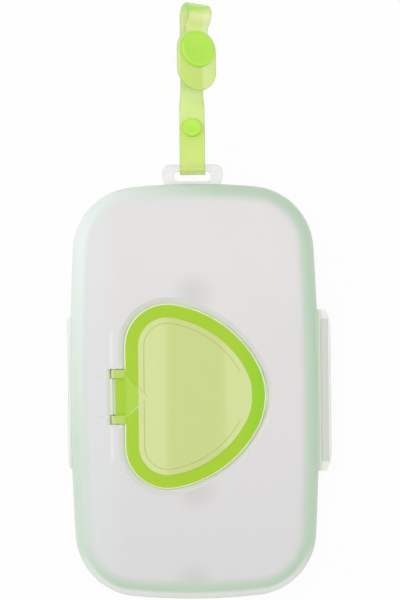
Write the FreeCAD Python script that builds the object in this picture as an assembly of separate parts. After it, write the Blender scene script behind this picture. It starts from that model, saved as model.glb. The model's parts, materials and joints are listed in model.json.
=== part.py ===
import FreeCAD, Part
import math
import os

from FreeCAD import Vector

# Baby wipe dispenser: a frosted two-part travel case on a living hinge, closed by a side latch,
# with a hinged lid over the dispensing opening and a soft moulded strap on a hanging tab.
# Millimetres. The case lies on its back. X runs across it towards the latch, Y along it towards
# the strap, Z up through the lid. The origin is the middle of the flat rear face.

# Case outline: two end arcs and two side arcs, joined by corner arcs that touch both
CASE_LENGTH = 198.6
CASE_WIDTH = 119.0
REAR_DEPTH = 19.0
FRONT_DEPTH = 14.2
END_ARC_RADIUS = 287.0
SIDE_ARC_RADIUS = 1230.0
CORNER_RADIUS = 31.0
SHELL_WALL = 1.6
FRONT_ROUND = 9.5
REAR_ROUND = 8.0

# Seam between the two shells: a soft seal on the front rim and a lip that laps inside the rear rim
RIM_SEAL_HEIGHT = 0.8
RIM_SEAL_INSET = 0.3
RIM_SEAL_CLEARANCE = 0.1
LIP_CLEARANCE = 0.3
LIP_WALL = 1.2
LIP_DEPTH = 2.0
LIP_ROOT = 2.6

# Living hinge on the left: a flat leaf on each shell and one thin web over both
HINGE_LENGTH = 75.0
HINGE_LEAF_PROUD = 0.7
HINGE_LEAF_HEIGHT = 7.0
HINGE_END_CHAMFER = 1.8
HINGE_WEB = 0.5
HINGE_WEB_HEIGHT = 6.4

# Side latch on the right, seen in section: a plate hinged low on the rear shell,
# whose lip reaches over a ledge on the front shell and drops a bead behind its nose
LATCH_LENGTH = 77.0
LATCH_END_ARC_RADIUS = 20.0
LATCH_END_TAPER = 9.6
LATCH_WALL_GAP = 0.3
LATCH_PLATE = 1.2
LATCH_PLATE_GAP = 1.2
LATCH_LIP = 1.8
LATCH_BEAD = 1.4
LATCH_BEAD_DROP = 1.0
LATCH_BEAD_SIDE_GAP = 0.4
LATCH_BEAD_FLOOR_GAP = 0.4
LATCH_LIP_GAP = 0.3
LATCH_FINGER_RIDGE = 1.0
LATCH_OUTER_ROUND = 0.8
LATCH_END_WALL = 4.6
LATCH_END_RISE = 0.5
LATCH_WEB = 0.5
LATCH_WEB_SPAN = 1.6
LATCH_WEB_BELOW_SEAM = 8.5
CATCH_LEDGE = 2.2
CATCH_LEDGE_ABOVE_SEAM = 1.6
CATCH_NOSE_WIDTH = 1.2
LATCH_LEDGE = 2.5
LATCH_LEDGE_LENGTH = 70.0
SHADE_RIB_GAP = 0.3
SHADE_RIB_LAP = 0.5
SHADE_RIB_HEIGHT = 0.6
SHADE_RIB_SLOPE = 1.1

# Hanging tab on the strap end of the rear shell
TAB_WIDTH = 29.4
TAB_ROOT_WIDTH = 26.6
TAB_REACH = 9.6
TAB_SHOULDER = 4.6
TAB_CORNER = 4.0
TAB_THICKNESS = 2.2
TAB_EDGE_ROUND = 0.9
TAB_BELOW_RIM = 0.3
TAB_SLOT_WIDTH = 17.8
TAB_SLOT_HEIGHT = 4.5
TAB_SLOT_CORNER = 1.8
TAB_BAR = 3.6

# Dispensing lid: a rounded triangle, straight on its hinge side and pointed at its tip
LID_LEFT = -33.4
LID_CENTRE_Y = -2.0
LID_WIDTH = 67.5
LID_HEIGHT = 88.4
LID_CORNER_RADIUS = 20.6
LID_FLANK_RADIUS = 55.0
LID_TIP_RADIUS = 33.0
LID_FLANGE = 1.4
LID_EDGE_ROUND = 0.8
LID_GAP = 0.3
LID_REST_GAP = 0.1
LID_SEAL_HEIGHT = 1.0
LID_SEAL_OUTER = 0.8
LID_SEAL_WIDTH = 5.9
LID_PANEL_CROWN = 0.5
LID_PANEL_WALL = 1.4
SINK_WIDTH = 0.5
SINK_DEPTH = 0.1
OPENING_INSET = 7.2
RIB_CLEARANCE = 2.0
RIB_WALL = 0.8
RIB_DEPTH = 2.8
RIB_TIP_GAP = 23.0
TONGUE_WIDTH = 15.0
TONGUE_WALL = 1.0
TONGUE_CLEARANCE = 0.4
TONGUE_BEAD = 0.4
TONGUE_BEAD_HEIGHT = 0.8
TONGUE_BEAD_GAP = 0.3
GUSSET_LENGTH = 11.4
GUSSET_HALF_WIDTH = 10.8
GUSSET_RISE = 0.25
GUSSET_SIDE = 1.5

# Seat of the lid in the front shell
SEAT_LAP = 0.4
SEAT_SHELF = 0.1
FLARE_WIDTH = 2.9
NAIL_ROOM = 0.3
SCOOP_RADIUS = 25.7
SCOOP_REACH = 3.4
SCOOP_SLOPE = 2.7

# Hinge of the lid: two knuckles with pins and a middle tab between them, in a bay of the front shell
LID_AXIS_OFFSET = 4.8
LID_AXIS_DEPTH = 1.6
BARREL_RADIUS = 1.6
ARM_FLOOR_GAP = 0.4
ARM_ROOT = 0.7
ARM_OUTER = 12.9
ARM_WIDTH = 3.9
ARM_GROOVE = 1.4
ARM_GROOVE_DEPTH = 0.6
ARM_TAB_END = 0.5
PIN_RADIUS = 0.9
PIN_LENGTH = 3.4
PIN_FIT = 0.06
PIN_END_GAP = 0.3
PIN_BOSS_WALL = 1.2
PIN_BOSS_LENGTH = 17.4
BAY_CLEARANCE = 0.3
BAY_SWING_ROOM = 3.6
BAY_FLOOR_ROUND = 1.2
SCORE_PLACE = 9.7
SCORE_LENGTH = 3.4
SCORE_WIDTH = 0.4
SCORE_DEPTH = 0.3

# Strap: one soft moulded strip that loops round the tab's bar and folds over at its far end
STRAP_WIDTH = 12.2
STRAP_THICKNESS = 1.2
STRAP_BAR_CLEARANCE = 0.3
STRAP_LAYER_GAP = 4.2
STRAP_LENGTH = 75.2
STRAP_ROLL_DEGREES = 28.0
STRAP_TWIST_START_SHARE = 0.14
STRAP_TWIST_END_SHARE = 0.46
STRAP_TWIST_STEPS = 8
STRAP_FOLD_RADIUS = 4.8
STRAP_FLOOR_CLEARANCE = 0.5
PAD_RADIUS = 10.5
PAD_BELOW_SNAP = 20.5
LARGE_SNAP_FROM_FOLD = 17.9
LARGE_SNAP_RIM = 0.3
SMALL_SNAP_PLACE = 19.4
TAIL_BEYOND_SNAP = 6.2

# Press snaps: a cap and a socket on one layer, a stud and a back cap on the other
LARGE_CAP_RADIUS = 8.9
LARGE_PLATE_RADIUS = 6.0
SMALL_CAP_RADIUS = 4.6
SMALL_PLATE_RADIUS = 4.4
SNAP_CAP_HEIGHT = 2.0
SNAP_CAP_ROUND = 0.9
SNAP_DISH_RIM = 1.6
SNAP_DISH_DEPTH = 0.35
SNAP_BACK_HEIGHT = 1.3
SNAP_BACK_ROUND = 0.6
SNAP_STEM_RADIUS = 1.3
SNAP_STEM_FIT = 0.05
SNAP_BOSS_RADIUS = 2.6
SNAP_BOSS_HEIGHT = 1.9
SNAP_BOSS_CLEARANCE = 0.2
SNAP_SOCKET_HEIGHT = 2.2
SNAP_SOCKET_WEB = 0.7
SNAP_FACE_GAP = 0.8

# Room for cuts to run past a face, and the least distance between two places
OVERRUN = 5.0
SAME_PLACE = 0.0001

# Heights of the seam and the lid, worked out from the sizes above
HALF_WIDTH = CASE_WIDTH / 2
HALF_LENGTH = CASE_LENGTH / 2
SEAM_Z = REAR_DEPTH + RIM_SEAL_HEIGHT / 2
FRONT_RIM_Z = REAR_DEPTH + RIM_SEAL_HEIGHT
CASE_DEPTH = FRONT_RIM_Z + FRONT_DEPTH
INNER_FACE_Z = CASE_DEPTH - SHELL_WALL
FLANGE_Z = CASE_DEPTH - LID_FLANGE
LEDGE_Z = FLANGE_Z - LID_SEAL_HEIGHT - LID_REST_GAP
LEDGE_UNDER_Z = LEDGE_Z - SHELL_WALL
SEAT_EDGE_Z = FLANGE_Z - LID_GAP
LID_RIGHT = LID_LEFT + LID_WIDTH
PANEL_INSET = LID_SEAL_OUTER + LID_SEAL_WIDTH
LID_AXIS_X = LID_LEFT - LID_AXIS_OFFSET
LID_AXIS_Z = CASE_DEPTH - LID_AXIS_DEPTH
BAY_HALF_LENGTH = ARM_OUTER + BAY_CLEARANCE
BAY_LEFT_X = LID_AXIS_X - BAY_SWING_ROOM
BAY_RIGHT_X = LID_AXIS_X + BARREL_RADIUS + BAY_CLEARANCE
BAY_FLOOR_Z = LID_AXIS_Z - BARREL_RADIUS - BAY_CLEARANCE
BAY_WALL_X = LID_AXIS_X - BARREL_RADIUS - BAY_CLEARANCE
BAY_RAMP_Z = LID_AXIS_Z - BAY_CLEARANCE
KNUCKLE_INNER = ARM_OUTER - ARM_WIDTH

# Places across the latch, from the wall outwards, and up it from the floor of the catch's groove
LIP_INNER_X = HALF_WIDTH + LATCH_WALL_GAP
BEAD_OUTER_X = LIP_INNER_X + LATCH_BEAD
NOSE_INNER_X = BEAD_OUTER_X + LATCH_BEAD_SIDE_GAP
NOSE_OUTER_X = NOSE_INNER_X + CATCH_NOSE_WIDTH
PLATE_INNER_X = NOSE_OUTER_X + LATCH_PLATE_GAP
PLATE_OUTER_X = PLATE_INNER_X + LATCH_PLATE
CATCH_LEDGE_Z = SEAM_Z + CATCH_LEDGE_ABOVE_SEAM
GROOVE_Z = CATCH_LEDGE_Z + CATCH_LEDGE
BEAD_Z = GROOVE_Z + LATCH_BEAD_FLOOR_GAP
LIP_Z = BEAD_Z + LATCH_BEAD_DROP
NOSE_TOP_Z = LIP_Z - LATCH_LIP_GAP
LIP_TOP_Z = LIP_Z + LATCH_LIP
LATCH_FOOT_Z = SEAM_Z - LATCH_WEB_BELOW_SEAM - LATCH_WEB

# Places of the strap in its own flat frame, with the tab's bar at its origin
BAR_Y = HALF_LENGTH + TAB_REACH - TAB_BAR / 2
BAR_Z = REAR_DEPTH - TAB_BELOW_RIM - TAB_THICKNESS / 2
BAR_LAYER_GAP = TAB_BAR + 2 * STRAP_BAR_CLEARANCE
MAIN_V = BAR_LAYER_GAP / 2 + STRAP_THICKNESS / 2
PAD_V = MAIN_V + STRAP_LAYER_GAP + STRAP_THICKNESS
FOLD_V = MAIN_V + STRAP_FOLD_RADIUS
FOLD_TOP_V = FOLD_V + STRAP_FOLD_RADIUS
TAIL_LENGTH = SMALL_SNAP_PLACE + TAIL_BEYOND_SNAP
LARGE_SNAP_PLACE = STRAP_LENGTH - LARGE_SNAP_FROM_FOLD
PAD_BOTTOM = LARGE_SNAP_PLACE - PAD_BELOW_SNAP
SLOPE_END = LARGE_SNAP_PLACE + LARGE_CAP_RADIUS + LARGE_SNAP_RIM
FREE_START = SMALL_SNAP_PLACE + SMALL_PLATE_RADIUS
FREE_LENGTH = LARGE_SNAP_PLACE - LARGE_PLATE_RADIUS - FREE_START
TWIST_START = FREE_START + FREE_LENGTH * STRAP_TWIST_START_SHARE
TWIST_END = FREE_START + FREE_LENGTH * STRAP_TWIST_END_SHARE


def box(x0, x1, y0, y1, z0, z1):
    """Box between two corners."""
    return Part.makeBox(x1 - x0, y1 - y0, z1 - z0, Vector(x0, y0, z0))


def prism(wire, height):
    """Solid straight up from a flat closed wire."""
    return Part.Face(wire).extrude(Vector(0, 0, height))


def disc(radius, height, u, v):
    """Upright cylinder on the strap's middle line, from v upwards."""
    return Part.makeCylinder(radius, height, Vector(0, u, v), Vector(0, 0, 1))


def polygon(points):
    """Closed wire through the points."""
    return Part.makePolygon(points + [points[0]])


def section(points, length):
    """Solid along Y, centred on Y zero, from x and z points of its section."""
    wire = polygon([Vector(x, -length / 2, z) for x, z in points])
    return Part.Face(wire).extrude(Vector(0, length, 0))


def fuse_all(shapes):
    """One solid from overlapping shapes, without inner seams."""
    return shapes[0].fuse(shapes[1:]).removeSplitter()


def edges_at_height(solid, z):
    """Edges that lie flat at one height."""
    return [edge for edge in solid.Edges if all(abs(v.Z - z) < SAME_PLACE for v in edge.Vertexes)]


def arc_about(centre, start, end):
    """Arc from start to end about centre, the short way round."""
    spoke = (start - centre) + (end - centre)
    spoke.normalize()
    return Part.Arc(start, centre + spoke * (start - centre).Length, end).toShape()


def along(start, through, distance):
    """Point at a distance from start, on the line through another point."""
    direction = through - start
    direction.normalize()
    return start + direction * distance


def touching_centre(first, first_reach, second, second_reach, side):
    """Centre at given distances from two centres, on the side that a vector points to."""
    across = second - first
    span = across.Length
    across.normalize()
    foot = (first_reach ** 2 - second_reach ** 2 + span ** 2) / (2 * span)
    height = math.sqrt(first_reach ** 2 - foot ** 2)
    square = Vector(-across.y, across.x, 0)
    if square.dot(side) < 0:
        square = square * -1
    return first + across * foot + square * height


def case_outline(inset, z):
    """Outline of the case at one height, drawn in by inset all round."""
    end_radius = END_ARC_RADIUS - inset
    side_radius = SIDE_ARC_RADIUS - inset
    corner_radius = CORNER_RADIUS - inset
    end_centre = Vector(0, HALF_LENGTH - END_ARC_RADIUS, z)
    side_centre = Vector(HALF_WIDTH - SIDE_ARC_RADIUS, 0, z)
    corner_centre = touching_centre(
        end_centre, end_radius - corner_radius, side_centre, side_radius - corner_radius, Vector(1, 1, 0)
    )
    end_joint = along(end_centre, corner_centre, end_radius)
    side_joint = along(side_centre, corner_centre, side_radius)

    def flip(point, across, lengthwise):
        return Vector(point.x * across, point.y * lengthwise, z)

    edges = []
    for sign in (1, -1):
        side_start = flip(side_joint, sign, 1)
        side_end = flip(side_joint, sign, -1)
        edges.append(arc_about(flip(side_centre, sign, 1), side_start, side_end))
        end_start = flip(end_joint, -1, sign)
        end_end = flip(end_joint, 1, sign)
        edges.append(arc_about(flip(end_centre, 1, sign), end_start, end_end))
        for other in (1, -1):
            centre = flip(corner_centre, sign, other)
            edges.append(arc_about(centre, flip(end_joint, sign, other), flip(side_joint, sign, other)))
    return Part.Wire(Part.__sortEdges__(edges))


def case_ring(outer_inset, inner_inset, z0, z1):
    """Upright band that follows the case outline."""
    return prism(case_outline(outer_inset, z0), z1 - z0).cut(prism(case_outline(inner_inset, z0), z1 - z0))


def case_block(inset, z0, z1, rounded_z, radius):
    """Solid of the case outline, rounded over at one of its two faces."""
    block = prism(case_outline(inset, z0), z1 - z0)
    return block.makeFillet(radius, edges_at_height(block, rounded_z))


def lid_outline(inset, z):
    """Outline of the lid at one height, drawn in by inset all round, or let out if negative."""
    corner_centre = Vector(LID_LEFT + LID_CORNER_RADIUS, LID_HEIGHT / 2 - LID_CORNER_RADIUS, z)
    tip_centre = Vector(LID_RIGHT - LID_TIP_RADIUS, 0, z)
    flank_centre = touching_centre(
        corner_centre,
        LID_FLANK_RADIUS - LID_CORNER_RADIUS,
        tip_centre,
        LID_FLANK_RADIUS - LID_TIP_RADIUS,
        Vector(-1, -1, 0),
    )
    corner_start = Vector(LID_LEFT + inset, corner_centre.y, z)
    corner_joint = along(flank_centre, corner_centre, LID_FLANK_RADIUS - inset)
    tip_joint = along(flank_centre, tip_centre, LID_FLANK_RADIUS - inset)

    def flip(point, sign):
        return Vector(point.x, LID_CENTRE_Y + point.y * sign, z)

    edges = [Part.makeLine(flip(corner_start, -1), flip(corner_start, 1))]
    for sign in (1, -1):
        turn = flip(corner_joint, sign)
        edges.append(arc_about(flip(corner_centre, sign), flip(corner_start, sign), turn))
        edges.append(arc_about(flip(flank_centre, sign), turn, flip(tip_joint, sign)))
    edges.append(arc_about(flip(tip_centre, 1), flip(tip_joint, 1), flip(tip_joint, -1)))
    return Part.Wire(Part.__sortEdges__(edges))


def lid_block(inset, z0, z1):
    """Upright solid of the lid outline."""
    return prism(lid_outline(inset, z0), z1 - z0)


def lid_ring(outer_inset, inner_inset, z0, z1):
    """Upright band that follows the lid outline."""
    return lid_block(outer_inset, z0, z1).cut(lid_block(inner_inset, z0, z1))


def hinge_leaf(z0, z1):
    """Flat pad outside the left wall, with ends that slope into the wall."""
    outer_x = -HALF_WIDTH - HINGE_LEAF_PROUD
    half = HINGE_LENGTH / 2
    short_half = half - HINGE_END_CHAMFER
    points = [
        Vector(outer_x, -short_half, z0),
        Vector(outer_x, short_half, z0),
        Vector(-HALF_WIDTH + SHELL_WALL, half, z0),
        Vector(-HALF_WIDTH + SHELL_WALL, -half, z0),
    ]
    return prism(polygon(points), z1 - z0)


def rear_shell():
    """Tray that holds the wipes, with the hinge leaf and the ledge that carries the latch."""
    outer = case_block(0, 0, REAR_DEPTH, 0, REAR_ROUND)
    inner = case_block(SHELL_WALL, SHELL_WALL, REAR_DEPTH + OVERRUN, SHELL_WALL, REAR_ROUND - SHELL_WALL)
    leaf = hinge_leaf(REAR_DEPTH - HINGE_LEAF_HEIGHT, REAR_DEPTH)
    half = LATCH_LEDGE_LENGTH / 2
    ledge_outer_x = PLATE_INNER_X - LATCH_WEB_SPAN
    ledge_top_z = LATCH_FOOT_Z + LATCH_LEDGE
    ledge = box(HALF_WIDTH - SHELL_WALL, ledge_outer_x, -half, half, LATCH_FOOT_Z, ledge_top_z)
    return fuse_all([outer.cut(inner), leaf.cut(inner), ledge.cut(inner)])


def lid_seat_bosses():
    """Material under the front face, all round the lid's seat, its finger scoop and its hinge bay."""
    under_seat = lid_block(-LID_GAP - SHELL_WALL, LEDGE_UNDER_Z, INNER_FACE_Z + SHELL_WALL / 2)
    scoop_x = LID_RIGHT + SCOOP_REACH - SCOOP_RADIUS
    under_scoop = Part.makeCylinder(
        SCOOP_RADIUS + SHELL_WALL,
        INNER_FACE_Z + SHELL_WALL / 2 - LEDGE_UNDER_Z,
        Vector(scoop_x, LID_CENTRE_Y, LEDGE_UNDER_Z),
    )
    bay_half = BAY_HALF_LENGTH + SHELL_WALL
    under_bay = box(
        BAY_LEFT_X - SHELL_WALL,
        BAY_RIGHT_X + SHELL_WALL,
        LID_CENTRE_Y - bay_half,
        LID_CENTRE_Y + bay_half,
        BAY_FLOOR_Z - SHELL_WALL,
        INNER_FACE_Z + SHELL_WALL / 2,
    )
    pin_boss = PIN_RADIUS + PIN_FIT + PIN_BOSS_WALL
    boss_half = BAY_HALF_LENGTH + PIN_BOSS_LENGTH
    round_pins = box(
        LID_AXIS_X - pin_boss,
        BAY_RIGHT_X + SHELL_WALL,
        LID_CENTRE_Y - boss_half,
        LID_CENTRE_Y + boss_half,
        LID_AXIS_Z - pin_boss,
        INNER_FACE_Z + SHELL_WALL / 2,
    )
    return [under_seat, under_scoop, under_bay, round_pins]


def hinge_bay_cuts():
    """Hollows round the lid's hinge: a deep bay for each knuckle, a shallow floor between them, the
    way through to the seat, the pin sockets and two score lines. A ramp runs along the outer side."""
    ramp_points = [
        (LID_AXIS_X, CASE_DEPTH + OVERRUN),
        (LID_AXIS_X, BAY_RAMP_Z),
        (BAY_WALL_X, BAY_RAMP_Z),
        (BAY_LEFT_X, CASE_DEPTH),
        (BAY_LEFT_X, CASE_DEPTH + OVERRUN),
    ]
    ramp = section(ramp_points, 2 * BAY_HALF_LENGTH)
    ramp.translate(Vector(0, LID_CENTRE_Y, 0))
    y0 = LID_CENTRE_Y - BAY_HALF_LENGTH
    y1 = LID_CENTRE_Y + BAY_HALF_LENGTH
    seat_x = LID_LEFT + LID_SEAL_OUTER
    doorway = box(LID_AXIS_X, seat_x, y0, y1, LEDGE_Z, CASE_DEPTH + OVERRUN)
    socket_length = 2 * (BAY_HALF_LENGTH + PIN_LENGTH + PIN_END_GAP)
    sockets = Part.makeCylinder(
        PIN_RADIUS + PIN_FIT,
        socket_length,
        Vector(LID_AXIS_X, LID_CENTRE_Y - socket_length / 2, LID_AXIS_Z),
        Vector(0, 1, 0),
    )
    cuts = [ramp, doorway]
    bay_length = ARM_WIDTH + 2 * BAY_CLEARANCE
    bay_points = [
        (BAY_RIGHT_X, CASE_DEPTH + OVERRUN),
        (BAY_RIGHT_X, BAY_FLOOR_Z),
        (BAY_WALL_X, BAY_FLOOR_Z),
        (BAY_WALL_X, CASE_DEPTH + OVERRUN),
    ]
    for sign in (1, -1):
        bay = section(bay_points, bay_length)
        floor_edges = [e for e in edges_at_height(bay, BAY_FLOOR_Z) if e.BoundBox.YLength > SAME_PLACE]
        bay = bay.makeFillet(BAY_FLOOR_ROUND, floor_edges)
        bay.translate(Vector(0, LID_CENTRE_Y + sign * (ARM_OUTER - ARM_WIDTH / 2), 0))
        cuts.append(bay)
        score_y = LID_CENTRE_Y + sign * SCORE_PLACE
        y0 = score_y - SCORE_WIDTH / 2
        y1 = score_y + SCORE_WIDTH / 2
        score_z = CASE_DEPTH - SCORE_DEPTH
        cuts.append(box(BAY_LEFT_X - SCORE_LENGTH, LID_AXIS_X, y0, y1, score_z, CASE_DEPTH + OVERRUN))
    return cuts + [sockets]


def lid_seat_cuts():
    """Hollows of the lid's seat: pocket under the lid, sloping edge round it, finger scoop and opening."""
    pocket = lid_block(SEAT_LAP, LEDGE_Z, CASE_DEPTH + OVERRUN)
    flare_depth = CASE_DEPTH - SEAT_EDGE_Z
    flare_rims = [
        lid_outline(-SEAT_SHELF, SEAT_EDGE_Z),
        lid_outline(SEAT_SHELF - 2 * FLARE_WIDTH, CASE_DEPTH + flare_depth),
    ]
    flare = Part.makeLoft(flare_rims, True, True)
    scoop_z = SEAT_EDGE_Z - NAIL_ROOM
    scoop_depth = CASE_DEPTH - scoop_z
    scoop = Part.makeCone(
        SCOOP_RADIUS - SCOOP_SLOPE,
        SCOOP_RADIUS + SCOOP_SLOPE,
        2 * scoop_depth,
        Vector(LID_RIGHT + SCOOP_REACH - SCOOP_RADIUS, LID_CENTRE_Y, scoop_z),
    )
    opening = lid_block(OPENING_INSET, LEDGE_UNDER_Z - OVERRUN, LEDGE_Z + OVERRUN)
    return [pocket, flare, scoop, opening]


def catch_ledge():
    """Ledge with a raised nose, outside the right wall of the front shell."""
    wall_x = HALF_WIDTH - SHELL_WALL
    points = [
        (wall_x, CATCH_LEDGE_Z),
        (NOSE_OUTER_X, CATCH_LEDGE_Z),
        (NOSE_OUTER_X, NOSE_TOP_Z),
        (NOSE_INNER_X, NOSE_TOP_Z),
        (NOSE_INNER_X, GROOVE_Z),
        (wall_x, GROOVE_Z),
    ]
    return section(points, LATCH_LEDGE_LENGTH)


def shade_rib():
    """Rib on the right wall that laps over the edge of the latch and closes the slit beside it."""
    root_x = HALF_WIDTH - SHELL_WALL
    outer_x = LIP_INNER_X + SHADE_RIB_LAP
    rib_z = LIP_TOP_Z + LATCH_END_RISE + SHADE_RIB_GAP
    rib_top_z = rib_z + SHADE_RIB_HEIGHT
    points = [
        (root_x, rib_z),
        (outer_x, rib_z),
        (outer_x, rib_top_z),
        (root_x, rib_top_z + SHADE_RIB_SLOPE),
    ]
    return section(points, LATCH_LENGTH)


def front_shell():
    """Cover with the lid's seat and opening, a lip inside the seam, a hinge leaf, a catch ledge and a rib
    above it."""
    outer = case_block(0, FRONT_RIM_Z, CASE_DEPTH, CASE_DEPTH, FRONT_ROUND)
    inner_round = FRONT_ROUND - SHELL_WALL
    inner = case_block(SHELL_WALL, FRONT_RIM_Z - OVERRUN, INNER_FACE_Z, INNER_FACE_Z, inner_round)
    lip_outer = SHELL_WALL + LIP_CLEARANCE
    lip_inner = lip_outer + LIP_WALL
    lip = case_ring(lip_outer, lip_inner, REAR_DEPTH - LIP_DEPTH, FRONT_RIM_Z + LIP_ROOT)
    lip_root = case_ring(SHELL_WALL / 2, lip_inner, FRONT_RIM_Z, FRONT_RIM_Z + LIP_ROOT)
    leaf = hinge_leaf(FRONT_RIM_Z, FRONT_RIM_Z + HINGE_LEAF_HEIGHT).cut(inner)
    catch = catch_ledge().cut(inner)
    rib = shade_rib().cut(inner)
    shell = outer.cut(inner).fuse([lip, lip_root, leaf, catch, rib] + lid_seat_bosses())
    return shell.cut(lid_seat_cuts() + hinge_bay_cuts()).removeSplitter()


def rim_seal():
    """Soft band in the seam, carried by the front rim."""
    return case_ring(RIM_SEAL_INSET, SHELL_WALL, REAR_DEPTH + RIM_SEAL_CLEARANCE, FRONT_RIM_Z)


def case_hinge_web():
    """Thin flexible web of the living hinge, over the outer faces of both leaves."""
    leaf_x = -HALF_WIDTH - HINGE_LEAF_PROUD
    half = HINGE_LENGTH / 2 - HINGE_END_CHAMFER
    half_height = HINGE_WEB_HEIGHT / 2
    return box(leaf_x - HINGE_WEB, leaf_x, -half, half, SEAM_Z - half_height, SEAM_Z + half_height)


def latch_plan(z0, z1):
    """Plan of the latch: straight along its outer edge, curving in towards both ends."""
    half = LATCH_LENGTH / 2
    straight = half - LATCH_END_TAPER
    drop = LATCH_END_ARC_RADIUS - math.sqrt(LATCH_END_ARC_RADIUS ** 2 - LATCH_END_TAPER ** 2)
    outer_x = PLATE_OUTER_X
    inner_x = LIP_INNER_X
    edges = [
        Part.makeLine(Vector(outer_x, -straight, z0), Vector(outer_x, straight, z0)),
        Part.makeLine(Vector(inner_x, half, z0), Vector(inner_x, -half, z0)),
    ]
    for sign in (1, -1):
        centre = Vector(outer_x - LATCH_END_ARC_RADIUS, straight * sign, z0)
        arc_end = Vector(outer_x - drop, half * sign, z0)
        edges.append(arc_about(centre, Vector(outer_x, straight * sign, z0), arc_end))
        edges.append(Part.makeLine(arc_end, Vector(inner_x, half * sign, z0)))
    return prism(Part.Wire(Part.__sortEdges__(edges)), z1 - z0)


def side_latch():
    """Press latch: plate, lip with a bead, a ridge for the finger and raised walls at its ends."""
    ridge_top_z = LIP_TOP_Z + LATCH_FINGER_RIDGE
    points = [
        (PLATE_OUTER_X, LATCH_FOOT_Z),
        (PLATE_OUTER_X, ridge_top_z),
        (PLATE_INNER_X, ridge_top_z),
        (PLATE_INNER_X, LIP_TOP_Z),
        (LIP_INNER_X, LIP_TOP_Z),
        (LIP_INNER_X, BEAD_Z),
        (BEAD_OUTER_X, BEAD_Z),
        (BEAD_OUTER_X, LIP_Z),
        (PLATE_INNER_X, LIP_Z),
        (PLATE_INNER_X, LATCH_FOOT_Z),
    ]
    latch = section(points, LATCH_LENGTH).common(latch_plan(LATCH_FOOT_Z, ridge_top_z))
    top_edges = edges_at_height(latch, ridge_top_z)
    outer_edges = [e for e in top_edges if e.BoundBox.XMin > PLATE_INNER_X + SAME_PLACE]
    latch = latch.makeFillet(LATCH_OUTER_ROUND, outer_edges)
    middle = LATCH_LENGTH / 2 - LATCH_END_WALL
    end_walls = latch_plan(LIP_Z, LIP_TOP_Z + LATCH_END_RISE).common(
        box(LIP_INNER_X, PLATE_INNER_X, -LATCH_LENGTH, LATCH_LENGTH, LIP_Z, ridge_top_z)
    )
    end_walls = end_walls.cut(box(0, CASE_WIDTH, -middle, middle, 0, CASE_DEPTH))
    return latch.fuse(end_walls).removeSplitter()


def latch_hinge_web():
    """Thin flexible web between the rear ledge and the foot of the latch."""
    half = LATCH_LEDGE_LENGTH / 2
    return box(
        PLATE_INNER_X - LATCH_WEB_SPAN, PLATE_INNER_X, -half, half, LATCH_FOOT_Z, LATCH_FOOT_Z + LATCH_WEB
    )


def hang_tab():
    """Flat clear tab with a slot, whose outer edge is the bar that the strap loops round."""
    z0 = BAR_Z - TAB_THICKNESS / 2
    root_y = HALF_LENGTH - SHELL_WALL
    top_y = HALF_LENGTH + TAB_REACH
    shoulder_y = top_y - TAB_SHOULDER
    half = TAB_WIDTH / 2
    root_half = TAB_ROOT_WIDTH / 2
    points = [
        Vector(-root_half, root_y - OVERRUN, z0),
        Vector(root_half, root_y - OVERRUN, z0),
        Vector(root_half, root_y, z0),
        Vector(half, shoulder_y, z0),
        Vector(half, top_y, z0),
        Vector(-half, top_y, z0),
        Vector(-half, shoulder_y, z0),
        Vector(-root_half, root_y, z0),
    ]
    plate = prism(polygon(points), TAB_THICKNESS)
    upright = [e for e in plate.Edges if e.BoundBox.ZLength > SAME_PLACE]
    plate = plate.makeFillet(TAB_CORNER, [e for e in upright if e.BoundBox.YMin > top_y - SAME_PLACE])
    slot_half = TAB_SLOT_WIDTH / 2
    slot_top_y = top_y - TAB_BAR
    slot = box(-slot_half, slot_half, slot_top_y - TAB_SLOT_HEIGHT, slot_top_y, z0, z0 + TAB_THICKNESS)
    slot = slot.makeFillet(TAB_SLOT_CORNER, [e for e in slot.Edges if e.BoundBox.ZLength > SAME_PLACE])
    plate = plate.cut(slot)
    flat_edges = edges_at_height(plate, z0) + edges_at_height(plate, z0 + TAB_THICKNESS)
    plate = plate.makeFillet(TAB_EDGE_ROUND, flat_edges)
    return plate.cut(prism(case_outline(0, z0 - OVERRUN), TAB_THICKNESS + 2 * OVERRUN))


def lid_hinge():
    """Plate on the straight side of the lid, with a knuckle and a pin at each end and two grooves."""
    flange_x = LID_LEFT + ARM_ROOT
    arm_z = LEDGE_Z + ARM_FLOOR_GAP
    tab_x = LID_AXIS_X + ARM_TAB_END
    hinge = box(tab_x, flange_x, -ARM_OUTER, ARM_OUTER, arm_z, CASE_DEPTH)
    groove_z = CASE_DEPTH - ARM_GROOVE_DEPTH
    for sign in (1, -1):
        knuckle_y = sign * (ARM_OUTER - ARM_WIDTH / 2)
        start = Vector(LID_AXIS_X, knuckle_y - ARM_WIDTH / 2, LID_AXIS_Z)
        barrel = Part.makeCylinder(BARREL_RADIUS, ARM_WIDTH, start, Vector(0, 1, 0))
        y0 = knuckle_y - ARM_WIDTH / 2
        y1 = knuckle_y + ARM_WIDTH / 2
        neck = box(LID_AXIS_X, flange_x, y0, y1, arm_z, LID_AXIS_Z + BARREL_RADIUS)
        pin = Part.makeCylinder(
            PIN_RADIUS,
            PIN_LENGTH + ARM_WIDTH / 2 + BAY_CLEARANCE,
            Vector(LID_AXIS_X, knuckle_y, LID_AXIS_Z),
            Vector(0, sign, 0),
        )
        hinge = hinge.fuse([barrel, neck, pin])
    for sign in (1, -1):
        groove_y = sign * (KNUCKLE_INNER - ARM_GROOVE / 2)
        y0 = groove_y - ARM_GROOVE / 2
        y1 = groove_y + ARM_GROOVE / 2
        hinge = hinge.cut(box(tab_x - OVERRUN, LID_LEFT, y0, y1, groove_z, CASE_DEPTH + OVERRUN))
    hinge.translate(Vector(0, LID_CENTRE_Y, 0))
    return hinge.removeSplitter()


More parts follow.
